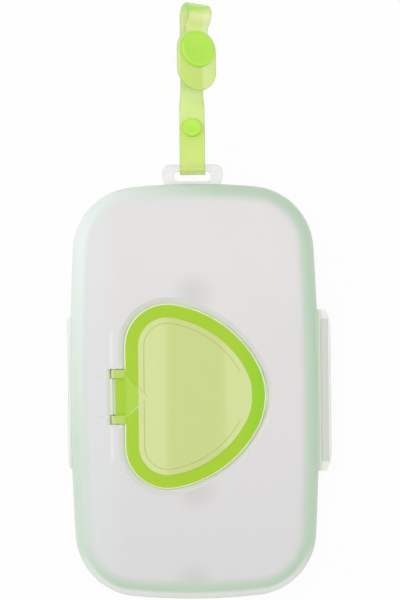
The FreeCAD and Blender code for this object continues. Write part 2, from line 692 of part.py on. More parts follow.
def lid_gusset():
    """Low triangle that stiffens the lid over its hinge, with sloping sides and the panel's crown."""
    rims = []
    for z, shorter in ((CASE_DEPTH - GUSSET_RISE, 0), (CASE_DEPTH + 2 * GUSSET_RISE, GUSSET_SIDE)):
        root_x = LID_LEFT + LID_EDGE_ROUND
        half = GUSSET_HALF_WIDTH - shorter
        points = [
            Vector(root_x, LID_CENTRE_Y - half, z),
            Vector(root_x + GUSSET_LENGTH - shorter, LID_CENTRE_Y, z),
            Vector(root_x, LID_CENTRE_Y + half, z),
        ]
        rims.append(polygon(points))
    return Part.makeLoft(rims, True, True).common(lid_panel_cylinder(-GUSSET_RISE))


def lid_panel_cylinder(depth):
    """Broad cylinder along Y whose surface is the crown of the panel, lowered by depth."""
    half = LID_WIDTH / 2 - PANEL_INSET
    radius = (half ** 2 + LID_PANEL_CROWN ** 2) / (2 * LID_PANEL_CROWN)
    middle_x = LID_LEFT + LID_WIDTH / 2
    start = Vector(middle_x, LID_CENTRE_Y - LID_HEIGHT / 2, CASE_DEPTH + LID_PANEL_CROWN - radius)
    return Part.makeCylinder(radius - depth, LID_HEIGHT, start, Vector(0, 1, 0))


def dispensing_lid():
    """Lid with a crowned panel, a plug rib that is open at the tip and leaves a fine sink line in the
    panel above it, a snap tongue and its hinge."""
    crown_z = CASE_DEPTH + LID_PANEL_CROWN
    plate = lid_block(0, FLANGE_Z, CASE_DEPTH)
    plate = plate.makeFillet(LID_EDGE_ROUND, edges_at_height(plate, CASE_DEPTH))
    crown = lid_block(PANEL_INSET, FLANGE_Z, crown_z).common(lid_panel_cylinder(0))
    rib_outer = OPENING_INSET + RIB_CLEARANCE
    rib_inner = rib_outer + RIB_WALL
    rib = lid_ring(rib_outer, rib_inner, FLANGE_Z - RIB_DEPTH, FLANGE_Z)
    tip_x = LID_LEFT + LID_WIDTH / 2
    half_gap = RIB_TIP_GAP / 2
    y0 = LID_CENTRE_Y - half_gap
    y1 = LID_CENTRE_Y + half_gap
    tip_gap = box(tip_x, LID_RIGHT, y0, y1, FLANGE_Z - RIB_DEPTH - OVERRUN, crown_z + OVERRUN)
    rib = rib.cut(tip_gap)
    sink = lid_ring(rib_outer, rib_outer + SINK_WIDTH, FLANGE_Z, crown_z)
    crown = crown.cut(sink.cut(lid_panel_cylinder(SINK_DEPTH)).cut(tip_gap))
    tongue_outer = OPENING_INSET + TONGUE_CLEARANCE
    tongue_inner = tongue_outer + TONGUE_WALL
    bead_top_z = LEDGE_UNDER_Z - TONGUE_BEAD_GAP
    bead_z = bead_top_z - TONGUE_BEAD_HEIGHT
    bead = lid_ring(OPENING_INSET - TONGUE_BEAD, tongue_inner, bead_z, bead_top_z)
    tongue = lid_ring(tongue_outer, tongue_inner, bead_z, FLANGE_Z).fuse(bead)
    half_tongue = TONGUE_WIDTH / 2
    y0 = LID_CENTRE_Y - half_tongue
    y1 = LID_CENTRE_Y + half_tongue
    tongue = tongue.common(box(tip_x, LID_RIGHT, y0, y1, bead_z, FLANGE_Z))
    under_crown = lid_block(rib_inner + RIB_WALL, FLANGE_Z, crown_z)
    hollow = under_crown.common(lid_panel_cylinder(LID_PANEL_WALL))
    solid = plate.fuse([crown, rib, tongue, lid_gusset(), lid_hinge()])
    return solid.cut(hollow).removeSplitter()


def lid_seal():
    """Soft ring under the flange of the lid, pressed on the seat."""
    return lid_ring(LID_SEAL_OUTER, PANEL_INSET, FLANGE_Z - LID_SEAL_HEIGHT, FLANGE_Z)


def rolled(shape):
    """Shape turned about the middle line of the strap, as its far half lies."""
    turned = shape.copy()
    turned.rotate(Vector(0, 0, MAIN_V), Vector(0, 1, 0), STRAP_ROLL_DEGREES)
    return turned


def droop_degrees():
    """Angle at which the far end of the strap comes down to the surface under the case."""
    roll = math.radians(STRAP_ROLL_DEGREES)
    low_v = MAIN_V - STRAP_THICKNESS / 2 * math.cos(roll) - STRAP_WIDTH / 2 * math.sin(roll)
    reach = math.hypot(STRAP_LENGTH, low_v)
    fall = math.asin((BAR_Z - STRAP_FLOOR_CLEARANCE) / reach)
    return math.degrees(fall + math.atan2(low_v, STRAP_LENGTH))


def hung(shape):
    """Shape from the strap's flat frame, drooped and moved to the tab's bar."""
    placed = shape.copy()
    placed.rotate(Vector(0, 0, 0), Vector(1, 0, 0), -droop_degrees())
    placed.translate(Vector(0, BAR_Y, BAR_Z))
    return placed


def strap_strip(start, end, v):
    """Flat straight stretch of the strap."""
    half = STRAP_WIDTH / 2
    half_thickness = STRAP_THICKNESS / 2
    return box(-half, half, start, end, v - half_thickness, v + half_thickness)


def strap_fold(u, v, radius, far_side):
    """Half turn of the strap about a line across it, on its far or near side."""
    ring = []
    for size in (radius + STRAP_THICKNESS / 2, radius - STRAP_THICKNESS / 2):
        ring.append(Part.makeCylinder(size, STRAP_WIDTH, Vector(-STRAP_WIDTH / 2, u, v), Vector(1, 0, 0)))
    reach = radius + STRAP_THICKNESS
    if far_side:
        keep = box(-STRAP_WIDTH, STRAP_WIDTH, u, u + reach, v - reach, v + reach)
    else:
        keep = box(-STRAP_WIDTH, STRAP_WIDTH, u - reach, u, v - reach, v + reach)
    return ring[0].cut(ring[1]).common(keep)


def snap_hole(u, v):
    """Hole through one layer of the strap for a snap's stem."""
    height = STRAP_THICKNESS + 2 * OVERRUN
    return disc(SNAP_STEM_RADIUS + SNAP_STEM_FIT, height, u, v - height / 2)


def twisted_stretch():
    """Stretch between the two snaps in which the strap rolls over."""
    half = STRAP_WIDTH / 2
    half_thickness = STRAP_THICKNESS / 2
    wires = []
    for step in range(STRAP_TWIST_STEPS + 1):
        progress = step / STRAP_TWIST_STEPS
        u = TWIST_START + (TWIST_END - TWIST_START) * progress
        corners = [
            Vector(-half, u, MAIN_V - half_thickness),
            Vector(half, u, MAIN_V - half_thickness),
            Vector(half, u, MAIN_V + half_thickness),
            Vector(-half, u, MAIN_V + half_thickness),
        ]
        wire = polygon(corners)
        turn = STRAP_ROLL_DEGREES * (1 - math.cos(math.pi * progress)) / 2
        wire.rotate(Vector(0, u, MAIN_V), Vector(0, 1, 0), turn)
        wires.append(wire)
    return Part.makeLoft(wires, True, True)


def strap_body():
    """Long front layer of the strap, from the tab's bar to the far fold."""
    near = strap_strip(0, TWIST_START, MAIN_V).cut(snap_hole(SMALL_SNAP_PLACE, MAIN_V))
    far = strap_strip(TWIST_END, STRAP_LENGTH, MAIN_V).cut(snap_hole(LARGE_SNAP_PLACE, MAIN_V))
    return hung(fuse_all([near, twisted_stretch(), rolled(far)]))


def strap_bar_loop():
    """Half turn of the strap round the tab's bar."""
    return hung(strap_fold(0, 0, MAIN_V, False))


def strap_tail():
    """Short layer behind the bar, with a round end, snapped to the front layer."""
    half = STRAP_WIDTH / 2
    straight = strap_strip(0, TAIL_LENGTH - half, -MAIN_V)
    end = disc(half, STRAP_THICKNESS, TAIL_LENGTH - half, -MAIN_V - STRAP_THICKNESS / 2)
    return hung(fuse_all([straight, end]).cut(snap_hole(SMALL_SNAP_PLACE, -MAIN_V)))


def strap_top_fold():
    """Half turn at the far end of the strap."""
    return hung(rolled(strap_fold(STRAP_LENGTH, FOLD_V, STRAP_FOLD_RADIUS, True)))


def flap_profile():
    """Side view of the flap: two arcs down from the fold, then the flat pad."""
    half = STRAP_THICKNESS / 2
    drop = FOLD_TOP_V - PAD_V
    slope_length = STRAP_LENGTH - SLOPE_END
    radius = (slope_length ** 2 + drop ** 2) / (4 * drop)
    across = -PAD_RADIUS
    crest = Vector(across, STRAP_LENGTH, FOLD_TOP_V - radius)
    dip = Vector(across, SLOPE_END, PAD_V + radius)

    def at(u, v):
        return Vector(across, u, v)

    upper_joint = along(crest, dip, radius + half)
    lower_joint = along(crest, dip, radius - half)
    edges = [
        arc_about(crest, at(STRAP_LENGTH, FOLD_TOP_V + half), upper_joint),
        arc_about(dip, upper_joint, at(SLOPE_END, PAD_V + half)),
        Part.makeLine(at(SLOPE_END, PAD_V + half), at(PAD_BOTTOM, PAD_V + half)),
        Part.makeLine(at(PAD_BOTTOM, PAD_V + half), at(PAD_BOTTOM, PAD_V - half)),
        Part.makeLine(at(PAD_BOTTOM, PAD_V - half), at(SLOPE_END, PAD_V - half)),
        arc_about(dip, at(SLOPE_END, PAD_V - half), lower_joint),
        arc_about(crest, lower_joint, at(STRAP_LENGTH, FOLD_TOP_V - half)),
        Part.makeLine(at(STRAP_LENGTH, FOLD_TOP_V - half), at(STRAP_LENGTH, FOLD_TOP_V + half)),
    ]
    return Part.Face(Part.Wire(edges)).extrude(Vector(2 * PAD_RADIUS, 0, 0))


def strap_flap():
    """Short layer folded back over the strap, ending in a wide pad for the finger."""
    half = STRAP_WIDTH / 2
    low = PAD_V - STRAP_THICKNESS
    height = FOLD_TOP_V + STRAP_THICKNESS - low
    first = PAD_BOTTOM + PAD_RADIUS
    plan = fuse_all([
        disc(PAD_RADIUS, height, first, low),
        box(-PAD_RADIUS, PAD_RADIUS, first, LARGE_SNAP_PLACE, low, low + height),
        disc(PAD_RADIUS, height, LARGE_SNAP_PLACE, low),
        box(-half, half, LARGE_SNAP_PLACE, STRAP_LENGTH, low, low + height),
    ])
    flap = flap_profile().common(plan).cut(snap_hole(LARGE_SNAP_PLACE, PAD_V))
    return hung(rolled(flap.removeSplitter()))


def snap_cap(u, layer_v, radius):
    """Round dished cap on the front of a layer, with a stem through it into the socket."""
    face_v = layer_v + STRAP_THICKNESS / 2
    cap = disc(radius, SNAP_CAP_HEIGHT, u, face_v)
    cap = cap.makeFillet(SNAP_CAP_ROUND, edges_at_height(cap, face_v + SNAP_CAP_HEIGHT))
    dish_radius = ((radius - SNAP_DISH_RIM) ** 2 + SNAP_DISH_DEPTH ** 2) / (2 * SNAP_DISH_DEPTH)
    dish_v = face_v + SNAP_CAP_HEIGHT - SNAP_DISH_DEPTH + dish_radius
    cap = cap.cut(Part.makeSphere(dish_radius, Vector(0, u, dish_v)))
    stem_length = STRAP_THICKNESS + SNAP_SOCKET_WEB
    stem = disc(SNAP_STEM_RADIUS, stem_length, u, face_v - stem_length)
    return fuse_all([cap, stem])


def snap_socket(u, layer_v, radius):
    """Ring behind a layer that takes the stud."""
    back_v = layer_v - STRAP_THICKNESS / 2
    low_v = back_v - SNAP_SOCKET_HEIGHT
    ring = disc(radius, SNAP_SOCKET_HEIGHT, u, low_v)
    well = disc(SNAP_BOSS_RADIUS + SNAP_BOSS_CLEARANCE, SNAP_SOCKET_HEIGHT - SNAP_SOCKET_WEB, u, low_v)
    bore = disc(SNAP_STEM_RADIUS + SNAP_STEM_FIT, SNAP_SOCKET_HEIGHT, u, low_v)
    return ring.cut([well, bore])


def stud_base(layer_gap):
    """Height of the stud's plate, which fills the gap between the layers up to the socket."""
    return layer_gap - SNAP_SOCKET_HEIGHT - SNAP_FACE_GAP


def snap_stud(u, layer_v, radius, layer_gap):
    """Plate with a hollow boss on the front of the other layer."""
    face_v = layer_v + STRAP_THICKNESS / 2
    plate = disc(radius, stud_base(layer_gap), u, face_v)
    height = stud_base(layer_gap) + SNAP_BOSS_HEIGHT
    boss = disc(SNAP_BOSS_RADIUS, height, u, face_v)
    bore = disc(SNAP_STEM_RADIUS + SNAP_STEM_FIT, height, u, face_v)
    return fuse_all([plate, boss]).cut(bore)


def snap_back_cap(u, layer_v, radius, layer_gap):
    """Round cap behind the other layer, with a stem into the stud."""
    back_v = layer_v - STRAP_THICKNESS / 2
    cap = disc(radius, SNAP_BACK_HEIGHT, u, back_v - SNAP_BACK_HEIGHT)
    cap = cap.makeFillet(SNAP_BACK_ROUND, edges_at_height(cap, back_v - SNAP_BACK_HEIGHT))
    stem = disc(SNAP_STEM_RADIUS, STRAP_THICKNESS + stud_base(layer_gap), u, back_v)
    return fuse_all([cap, stem])


def large_snap():
    """The four pieces that hold the flap to the strap."""
    u = LARGE_SNAP_PLACE
    pieces = {
        "large_snap_cap": snap_cap(u, PAD_V, LARGE_CAP_RADIUS),
        "large_snap_socket": snap_socket(u, PAD_V, LARGE_PLATE_RADIUS),
        "large_snap_stud": snap_stud(u, MAIN_V, LARGE_PLATE_RADIUS, STRAP_LAYER_GAP),
        "large_snap_back_cap": snap_back_cap(u, MAIN_V, LARGE_PLATE_RADIUS, STRAP_LAYER_GAP),
    }
    return {name: hung(rolled(shape)) for name, shape in pieces.items()}


def small_snap():
    """The four pieces that hold the tail to the strap."""
    u = SMALL_SNAP_PLACE
    pieces = {
        "small_snap_cap": snap_cap(u, MAIN_V, SMALL_CAP_RADIUS),
        "small_snap_socket": snap_socket(u, MAIN_V, SMALL_PLATE_RADIUS),
        "small_snap_stud": snap_stud(u, -MAIN_V, SMALL_PLATE_RADIUS, BAR_LAYER_GAP),
        "small_snap_back_cap": snap_back_cap(u, -MAIN_V, SMALL_PLATE_RADIUS, BAR_LAYER_GAP),
    }
    return {name: hung(shape) for name, shape in pieces.items()}


def all_pieces():
    """Every piece of the dispenser by its name."""
    pieces = {
        "rear_shell": rear_shell(),
        "front_shell": front_shell(),
        "rim_seal": rim_seal(),
        "case_hinge_web": case_hinge_web(),
        "side_latch": side_latch(),
        "latch_hinge_web": latch_hinge_web(),
        "hang_tab": hang_tab(),
        "dispensing_lid": dispensing_lid(),
        "lid_seal": lid_seal(),
        "strap_body": strap_body(),
        "strap_bar_loop": strap_bar_loop(),
        "strap_tail": strap_tail(),
        "strap_top_fold": strap_top_fold(),
        "strap_flap": strap_flap(),
    }
    pieces.update(large_snap())
    pieces.update(small_snap())
    return pieces


os.makedirs("parts", exist_ok=True)
for node, shape in all_pieces().items():
    shape.exportStep("parts/" + node + ".step")
    print(node, "solids", len(shape.Solids), "valid", shape.isValid(), "volume", round(shape.Volume, 1))
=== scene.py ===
import json
import math

import bmesh
import bpy
from bpy.props import FloatProperty, FloatVectorProperty, PointerProperty
from mathutils import Euler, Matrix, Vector


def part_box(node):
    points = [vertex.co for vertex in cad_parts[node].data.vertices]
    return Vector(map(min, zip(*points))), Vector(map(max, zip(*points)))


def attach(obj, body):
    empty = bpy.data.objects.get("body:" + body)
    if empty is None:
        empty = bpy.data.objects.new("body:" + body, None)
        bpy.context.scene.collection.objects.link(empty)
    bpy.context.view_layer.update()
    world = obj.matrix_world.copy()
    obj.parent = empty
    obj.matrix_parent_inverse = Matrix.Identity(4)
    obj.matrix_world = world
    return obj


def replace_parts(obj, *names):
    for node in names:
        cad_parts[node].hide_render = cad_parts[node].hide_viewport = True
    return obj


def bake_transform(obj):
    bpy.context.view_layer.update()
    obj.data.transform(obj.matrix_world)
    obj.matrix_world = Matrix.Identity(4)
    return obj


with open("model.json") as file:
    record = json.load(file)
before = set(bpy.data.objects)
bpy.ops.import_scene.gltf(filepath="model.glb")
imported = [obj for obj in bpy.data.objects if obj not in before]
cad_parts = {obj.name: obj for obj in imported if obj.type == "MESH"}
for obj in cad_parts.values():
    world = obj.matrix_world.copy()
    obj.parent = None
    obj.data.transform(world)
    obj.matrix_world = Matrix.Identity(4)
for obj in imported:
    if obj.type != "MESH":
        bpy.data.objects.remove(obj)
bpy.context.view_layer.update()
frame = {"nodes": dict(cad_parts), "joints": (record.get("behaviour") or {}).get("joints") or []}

bl_info = {
    "name": "Baby Wipe Dispenser",
    "version": (1, 0, 0),
    "blender": (4, 5, 0),
    "location": "View3D > Sidebar > Wipe Dispenser",
    "description": "Finishes, soft strap, seals and studio for a travel case for baby wipes",
    "category": "Object",
}

# Places read from the frame, and sizes that the part has too, in metres
MM = 0.001
JOINTS = {joint["name"]: joint for joint in frame["joints"]}
CASE_LOW, CASE_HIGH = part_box("front_shell")
LID_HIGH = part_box("dispensing_lid")[1]
SEAL_LOW, SEAL_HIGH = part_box("lid_seal")
LOOP_LOW, LOOP_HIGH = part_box("strap_bar_loop")
LATCH_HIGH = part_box("side_latch")[1]
LID_HINGE = Vector(JOINTS["lid_hinge"]["pos_m"])
LID_TOP = CASE_HIGH.z
RING_WIDTH = 5.9 * MM
LID_RIM = 0.8 * MM
PANEL_MIDDLE = (SEAL_LOW.x + SEAL_HIGH.x) / 2
PANEL_HALF = (SEAL_HIGH.x - SEAL_LOW.x) / 2 - RING_WIDTH
PANEL_CROWN = LID_HIGH.z - LID_TOP
SINK_DEPTH = 0.1 * MM
KNUCKLE_INNER = 9.0 * MM
CASE_HALF_WIDTH = 59.5 * MM
SIDE_ARC_RADIUS = 1230 * MM
END_ARC_RADIUS = 287 * MM

# The case's mint, by depth inward of its outline: where it starts and is full, and how these shift
TINT_CORNER_RADIUS = 24 * MM
TINT_START = 9.4 * MM
TINT_FULL = 3.0 * MM
LATCH_START_SHIFT = 0.8 * MM
LATCH_FULL_SHIFT = 2.2 * MM
FOOT_TINT_SHIFT = 2.4 * MM

# Marks of the case and the lid, and the share of its colour that each takes. The marks in line with the
# strap are painted shadows, the bay's share is painted light, and the catch's share is partly painted light.
SHADOW_PLACES = ((-0.5 * MM, 46.5 * MM), (0.6 * MM, -47 * MM), (-1.0 * MM, -91 * MM))
SHADOW_RADIUS = 13 * MM
SHADOW_SHARE = 0.5
STREAK_SHARE = 0.25
BAY_HALF_LENGTH = 15 * MM
BAY_SHARE = 0.7
CATCH_SHARE = 0.7
KNUCKLE_SHARE = 0.45
TAB_FLARE = 3.0 * MM

# What the face's colour is multiplied by near the case's hinge, where it looks a little cooler
HINGE_SIDE_CAST = (1.01, 1.055, 1.055, 1)

# The strap's own frame: w across it, u along it from the tab's bar, v up from the bar.
# The strap droops from the bar, and beyond its twist it is rolled about its middle line.
BAR = Vector(JOINTS["strap_swing"]["pos_m"])
FOLD_AXIS = Vector(JOINTS["strap_flap_open"]["axis"])
ROLL = math.acos(-FOLD_AXIS.x)
DROOP = math.atan2(FOLD_AXIS.y, FOLD_AXIS.z)
STRAP_WIDTH = LOOP_HIGH.x - LOOP_LOW.x
STRAP_THICKNESS = 1.2 * MM
MAIN_V = BAR.y - LOOP_LOW.y - STRAP_THICKNESS / 2

# How much the strap pales near the bar, as a share of how it pales at the far fold
NEAR_BAR_SHARE = 0.35

# A face of the strap that leans from its layer by more than this cosine says belongs to an edge
EDGE_LEAN = 0.93

# Where the strap twists, as shares of its free length, and how finely its bends are divided
TWIST_START_SHARE = 0.14
TWIST_END_SHARE = 0.46
BODY_STEPS = 60
BEND_STEPS = 24
SLOPE_STEPS = 20
CAP_GAP = 0.3 * MM

# How meshes are merged, cut, rounded and shaded
MERGE_DISTANCE = 0.002 * MM
TOUCHING = 0.001 * MM
CUT_DISTANCE = 0.0001 * MM
FLAT_ANGLE = math.radians(0.4)
SEAL_ANGLE = math.radians(40)
STRAP_ANGLE = math.radians(60)
CRISP_DEGREES = 35
SOFT_DEGREES = 50

# The lid's materials, in the order of its slots
PANEL_SLOT, RING_SLOT, RIM_SLOT, SINK_SLOT = range(4)

# The studio: its floor and light, and the scale, place and turn of the picture
FLOOR_HALF = 3.0
WORLD_LIGHT = 0.45
PAPER_WHITE_SHARE = 0.93
PIXEL = 0.4819 * MM
PICTURE_HEIGHT = 600 * PIXEL
PICTURE_MIDDLE = (3.0 * MM, 43.6 * MM)
PICTURE_TURN = math.radians(-0.57)

# Kinds of node that the finishes use most. RAMP goes from zero at From Min to one at From Max, also
# where From Max is the lower of the two.
MATH = "ShaderNodeMath"
RAMP = "ShaderNodeMapRange"
MIX = "ShaderNodeMix"


def strap_place(w, u, v, roll):
    """Point of the row frame at a place of the strap's own frame."""
    across = w * math.cos(roll) + (v - MAIN_V) * math.sin(roll)
    rise = MAIN_V - w * math.sin(roll) + (v - MAIN_V) * math.cos(roll)
    along = u * math.cos(DROOP) + rise * math.sin(DROOP)
    up = rise * math.cos(DROOP) - u * math.sin(DROOP)
    return BAR + Vector((across, along, up))


def strap_coordinates(point, roll):
    """The place w, u, v of a point of the row frame."""
    offset = Vector(point) - BAR
    u = offset.y * math.cos(DROOP) - offset.z * math.sin(DROOP)
    rise = offset.y * math.sin(DROOP) + offset.z * math.cos(DROOP) - MAIN_V
    w = offset.x * math.cos(roll) - rise * math.sin(roll)
    return Vector((w, u, MAIN_V + offset.x * math.sin(roll) + rise * math.cos(roll)))


def strap_extent(node, roll):
    """Lowest and highest w, u, v that a node of the frame reaches."""
    places = [strap_coordinates(vertex.co, roll) for vertex in frame["nodes"][node].data.vertices]
    low = Vector([min(place[i] for place in places) for i in range(3)])
    high = Vector([max(place[i] for place in places) for i in range(3)])
    return low, high


FOLD = strap_coordinates(JOINTS["strap_flap_open"]["pos_m"], ROLL)
FLAP_LOW, FLAP_HIGH = strap_extent("strap_flap", ROLL)
TAIL_HIGH = strap_extent("strap_tail", 0)[1]
CAP_LOW, CAP_HIGH = strap_extent("large_snap_cap", ROLL)
STUD_LOW = strap_extent("large_snap_stud", ROLL)[0]
SMALL_HIGH = strap_extent("small_snap_stud", 0)[1]
STRAP_LENGTH = FOLD.y
FOLD_RADIUS = FOLD.z - MAIN_V
PAD_RADIUS = FLAP_HIGH.x
PAD_V = FLAP_LOW.z + STRAP_THICKNESS / 2
SNAP_PLACE = (CAP_LOW.y + CAP_HIGH.y) / 2


def linear(hex_colour):
    """Linear colour of an sRGB hex value."""
    channels = [int(hex_colour[i:i + 2], 16) / 255 for i in (0, 2, 4)]
    return tuple(c / 12.92 if c <= 0.04045 else ((c + 0.055) / 1.055) ** 2.4 for c in channels)


def colour_property(name, description, hex_colour):
    """A colour that a user may change."""
    return FloatVectorProperty(
        name=name,
        description=description,
        subtype="COLOR",
        size=3,
        min=0,
        max=1,
        default=linear(hex_colour),
    )


def length_property(name, description, millimetres):
    """A length that a user may change."""
    return FloatProperty(
        name=name, description=description, default=millimetres * MM, min=0, unit="LENGTH", precision=4
    )


class DispenserColours(bpy.types.PropertyGroup):
    """Colours of the dispenser's plastics."""

    frosted: colour_property("Frosted face", "Milky polypropylene of the case", "E2DFDE")
    # Painted shade: the face darkens towards the end away from the strap, where the light falls off.
    frosted_shaded_end: colour_property("Frosted end", "Face towards the end away from the strap", "DAD9D9")
    # The mint edge carries painted light: pale as a painted highlight at one corner, and deeper as painted
    # shade elsewhere.
    highlit_edge: colour_property("Pale edge", "Tint where the wall curves over, lighter corner", "F4FBF7")
    shaded_edge: colour_property("Deep edge", "Tint where the wall curves over, deeper corner", "C5DBC4")
    # Painted shadow: soft grey marks on the face in line with the strap.
    painted_shadow: colour_property("Blush", "Faint grey marks in line with the strap", "C4C4C1")
    seat: colour_property("Lid seat", "Slope of the lid's seat, with a breath of lime", "E0E2D8")
    # Near white for the clear strip of the case's hinge, and painted light on the foot's rim and in the
    # depth of the lid's seat and bay.
    clear: colour_property("Clear rim", "Clear edges: foot, case hinge and lid bay", "F4F9F1")
    latch: colour_property("Latch", "Polypropylene of the side latch", "FAFBF8")
    # Partly painted shade: the latch's recessed inner block is darker where the catch shows through it, and
    # where it lies below the raised outer band.
    latch_lip_shaded: colour_property("Latch lip", "Latch where the catch shows through it", "ECEDE7")
    tab: colour_property("Tab", "Clear polypropylene of the hanging tab", "E6E6E6")
    lid: colour_property("Lid", "Translucent plastic of the dispensing lid", "CFDB90")
    lid_ring: colour_property("Lid ring", "Lid where the seal shows through it", "A9D020")
    # Painted shade: the ring deepens to a darker green towards the lid's tip, at its thumb lip.
    lid_tip_shade: colour_property("Lid tip", "The ring at the tip of the lid", "92D008")
    # Partly a painted highlight: the pale line of the lid's clear rounded rim.
    lid_rim_highlight: colour_property("Lid rim", "Clear outer edge of the lid", "E6F0CC")
    lid_sink: colour_property("Lid sink line", "Line in the lid's panel over its plug rib", "BAC874")
    seal: colour_property("Seal", "Soft seals of the lid and the case", "9BD033")
    strap: colour_property("Strap", "Soft strap", "DCF677")
    # Painted light: the strap pales towards its far fold, where the rolled strap turns from the lamps. It
    # also pales a little near the bar.
    strap_pale_lit: colour_property("Strap, pale", "Soft strap towards its far fold", "F4FFB0")
    strap_fold: colour_property("Strap fold", "Crest of the strap's far fold", "CDFF6C")
    strap_edge: colour_property("Strap edge", "Rounded edges of the strap", "BEDA94")
    snap: colour_property("Snap", "Press snaps of the strap", "C6FF58")


class DispenserSizes(bpy.types.PropertyGroup):
    """Sizes that only the looks use."""

    band_edge: length_property("Band edge", "Rounding of the strap's long edges", 0.45)
    seal_edge: length_property("Seal edge", "Rounding of the soft seals", 0.25)
    grain: length_property("Moulded grain", "Grain of the frosted surface", 0.7)


def add_node(tree, kind, inputs=None, **settings):
    """Add a node with its settings. Each input is set to a value, or linked from another node's socket or
    from the first output that another node offers."""
    node = tree.nodes.new(kind)
    for name, value in settings.items():
        setattr(node, name, value)
    for name, value in (inputs or {}).items():
        if isinstance(value, bpy.types.Node):
            value = next(socket for socket in value.outputs if socket.enabled)
        if isinstance(value, bpy.types.NodeSocket):
            tree.links.new(value, node.inputs[name])
        else:
            node.inputs[name].default_value = value
    return node


def new_material(name, inputs):
    """Empty material with one Principled shader, whose sockets are set as given."""
    material = bpy.data.materials.new(name)
    material.use_nodes = True
    tree = material.node_tree
    tree.nodes.clear()
    shader = add_node(tree, "ShaderNodeBsdfPrincipled", inputs)
    add_node(tree, "ShaderNodeOutputMaterial", {"Surface": shader})
    return material, tree, shader


def opaque(colour):
    """Colour with full alpha, as a shader's socket takes it."""
    return (*colour, 1)


def band(tree, value, low, high, soft):
    """One between two limits and zero outside them, with soft ends."""
    rise = add_node(tree, RAMP, {"Value": value, "From Min": low - soft, "From Max": low + soft})
    fall = add_node(tree, RAMP, {"Value": value, "From Min": high + soft, "From Max": high - soft})
    return add_node(tree, MATH, {0: rise, 1: fall}, operation="MULTIPLY")


def mottled(tree, colour, size, depth):
    """A colour that drifts a little darker and lighter in clouds of the given size."""
    place = add_node(tree, "ShaderNodeTexCoord")
    noise = add_node(tree, "ShaderNodeTexNoise", {
        "Vector": place.outputs["Object"], "Scale": 1 / size, "Detail": 1.0,
    })
    darker = opaque([max(0, channel * (1 - depth)) for channel in colour])
    lighter = opaque([min(1, channel * (1 + depth)) for channel in colour])
    return add_node(tree, MIX, {"Factor": noise.outputs["Fac"], "A": darker, "B": lighter}, data_type="RGBA")


def clouded_material(name, colour, size, depth, inputs):
    """Material whose colour drifts in clouds, with the shader's other sockets set as given."""
    material, tree, shader = new_material(name, inputs)
    clouds = mottled(tree, colour, size, depth)
    tree.links.new(clouds.outputs["Result"], shader.inputs["Base Color"])
    return material


def object_axes(tree):
    """Object coordinates in metres, as three sockets."""
    place = add_node(tree, "ShaderNodeTexCoord")
    return add_node(tree, "ShaderNodeSeparateXYZ", {0: place.outputs["Object"]}).outputs


def add_grain(tree, shader, size, height):
    """Moulded grain of the given size, as a bump of the given height in metres. It is drawn coarser than
    the real grain, which is too fine to show."""
    place = add_node(tree, "ShaderNodeTexCoord")
    noise = add_node(tree, "ShaderNodeTexNoise", {
        "Vector": place.outputs["Object"], "Scale": 1 / size, "Detail": 2.0,
    })
    bump = add_node(tree, "ShaderNodeBump", {
        "Height": noise.outputs["Fac"], "Strength": 1.0, "Distance": height,
    })
    tree.links.new(bump.outputs["Normal"], shader.inputs["Normal"])


def diagonal(tree, first, second):
    """Length of the diagonal over two sides at a right angle."""
    squares = [add_node(tree, MATH, {0: side, 1: side}, operation="MULTIPLY") for side in (first, second)]
    total = add_node(tree, MATH, {0: squares[0], 1: squares[1]}, operation="ADD")
    return add_node(tree, MATH, {0: total}, operation="SQRT")


def edge_depth(tree, axes):
    """How far a place lies inward of an outline with the case's bowed sides and ends, and with tighter
    corners than the case has, so that a tint by this depth thins out round them."""
    over = []
    for axis, other, half, radius in (
        ("X", "Y", CASE_HALF_WIDTH, SIDE_ARC_RADIUS), ("Y", "X", CASE_HIGH.y, END_ARC_RADIUS)
    ):
        square = add_node(tree, MATH, {0: axes[other], 1: axes[other]}, operation="MULTIPLY")
        bow = add_node(tree, MATH, {0: square, 1: 2 * radius}, operation="DIVIDE")
        reach = add_node(tree, MATH, {0: axes[axis]}, operation="ABSOLUTE")
        bowed = add_node(tree, MATH, {0: reach, 1: bow}, operation="ADD")
        over.append(add_node(tree, MATH, {0: bowed, 1: half - TINT_CORNER_RADIUS}, operation="SUBTRACT"))
    outside = [add_node(tree, MATH, {0: share, 1: 0.0}, operation="MAXIMUM") for share in over]
    nearest = add_node(tree, MATH, {0: over[0], 1: over[1]}, operation="MAXIMUM")
    inside = add_node(tree, MATH, {0: nearest, 1: 0.0}, operation="MINIMUM")
    distance = add_node(tree, MATH, {0: diagonal(tree, *outside), 1: inside}, operation="ADD")
    return add_node(tree, MATH, {0: TINT_CORNER_RADIUS, 1: distance}, operation="SUBTRACT")


def painted_shadow(tree, axes, place):
    """One at a place on the face, falling softly to zero at the radius of a painted shadow round it."""
    offsets = []
    for axis, middle in zip("XY", place):
        offsets.append(add_node(tree, MATH, {0: axes[axis], 1: middle}, operation="SUBTRACT"))
    return add_node(tree, RAMP, {
        "Value": diagonal(tree, *offsets), "From Min": SHADOW_RADIUS, "From Max": 0.0,
    }, interpolation_type="SMOOTHSTEP")


def beside_hinge(tree, axes):
    """How far a place lies to either side of the middle of the lid's hinge."""
    offset = add_node(tree, MATH, {0: axes["Y"], 1: LID_HINGE.y}, operation="SUBTRACT")
    return add_node(tree, MATH, {0: offset}, operation="ABSOLUTE")


def milk_colour(tree, axes, colours):
    """Milky plastic in faint clouds, a little darker towards the end away from the strap: painted shade,
    where the light falls off towards that end.
    """
    along = add_node(tree, RAMP, {
        "Value": axes["Y"], "From Min": 0.6 * CASE_HIGH.y, "From Max": CASE_LOW.y,
    })
    clouds = mottled(tree, colours.frosted, 45 * MM, 0.02)
    return add_node(tree, MIX, {
        "Factor": along, "A": clouds, "B": opaque(colours.frosted_shaded_end),
    }, data_type="RGBA")


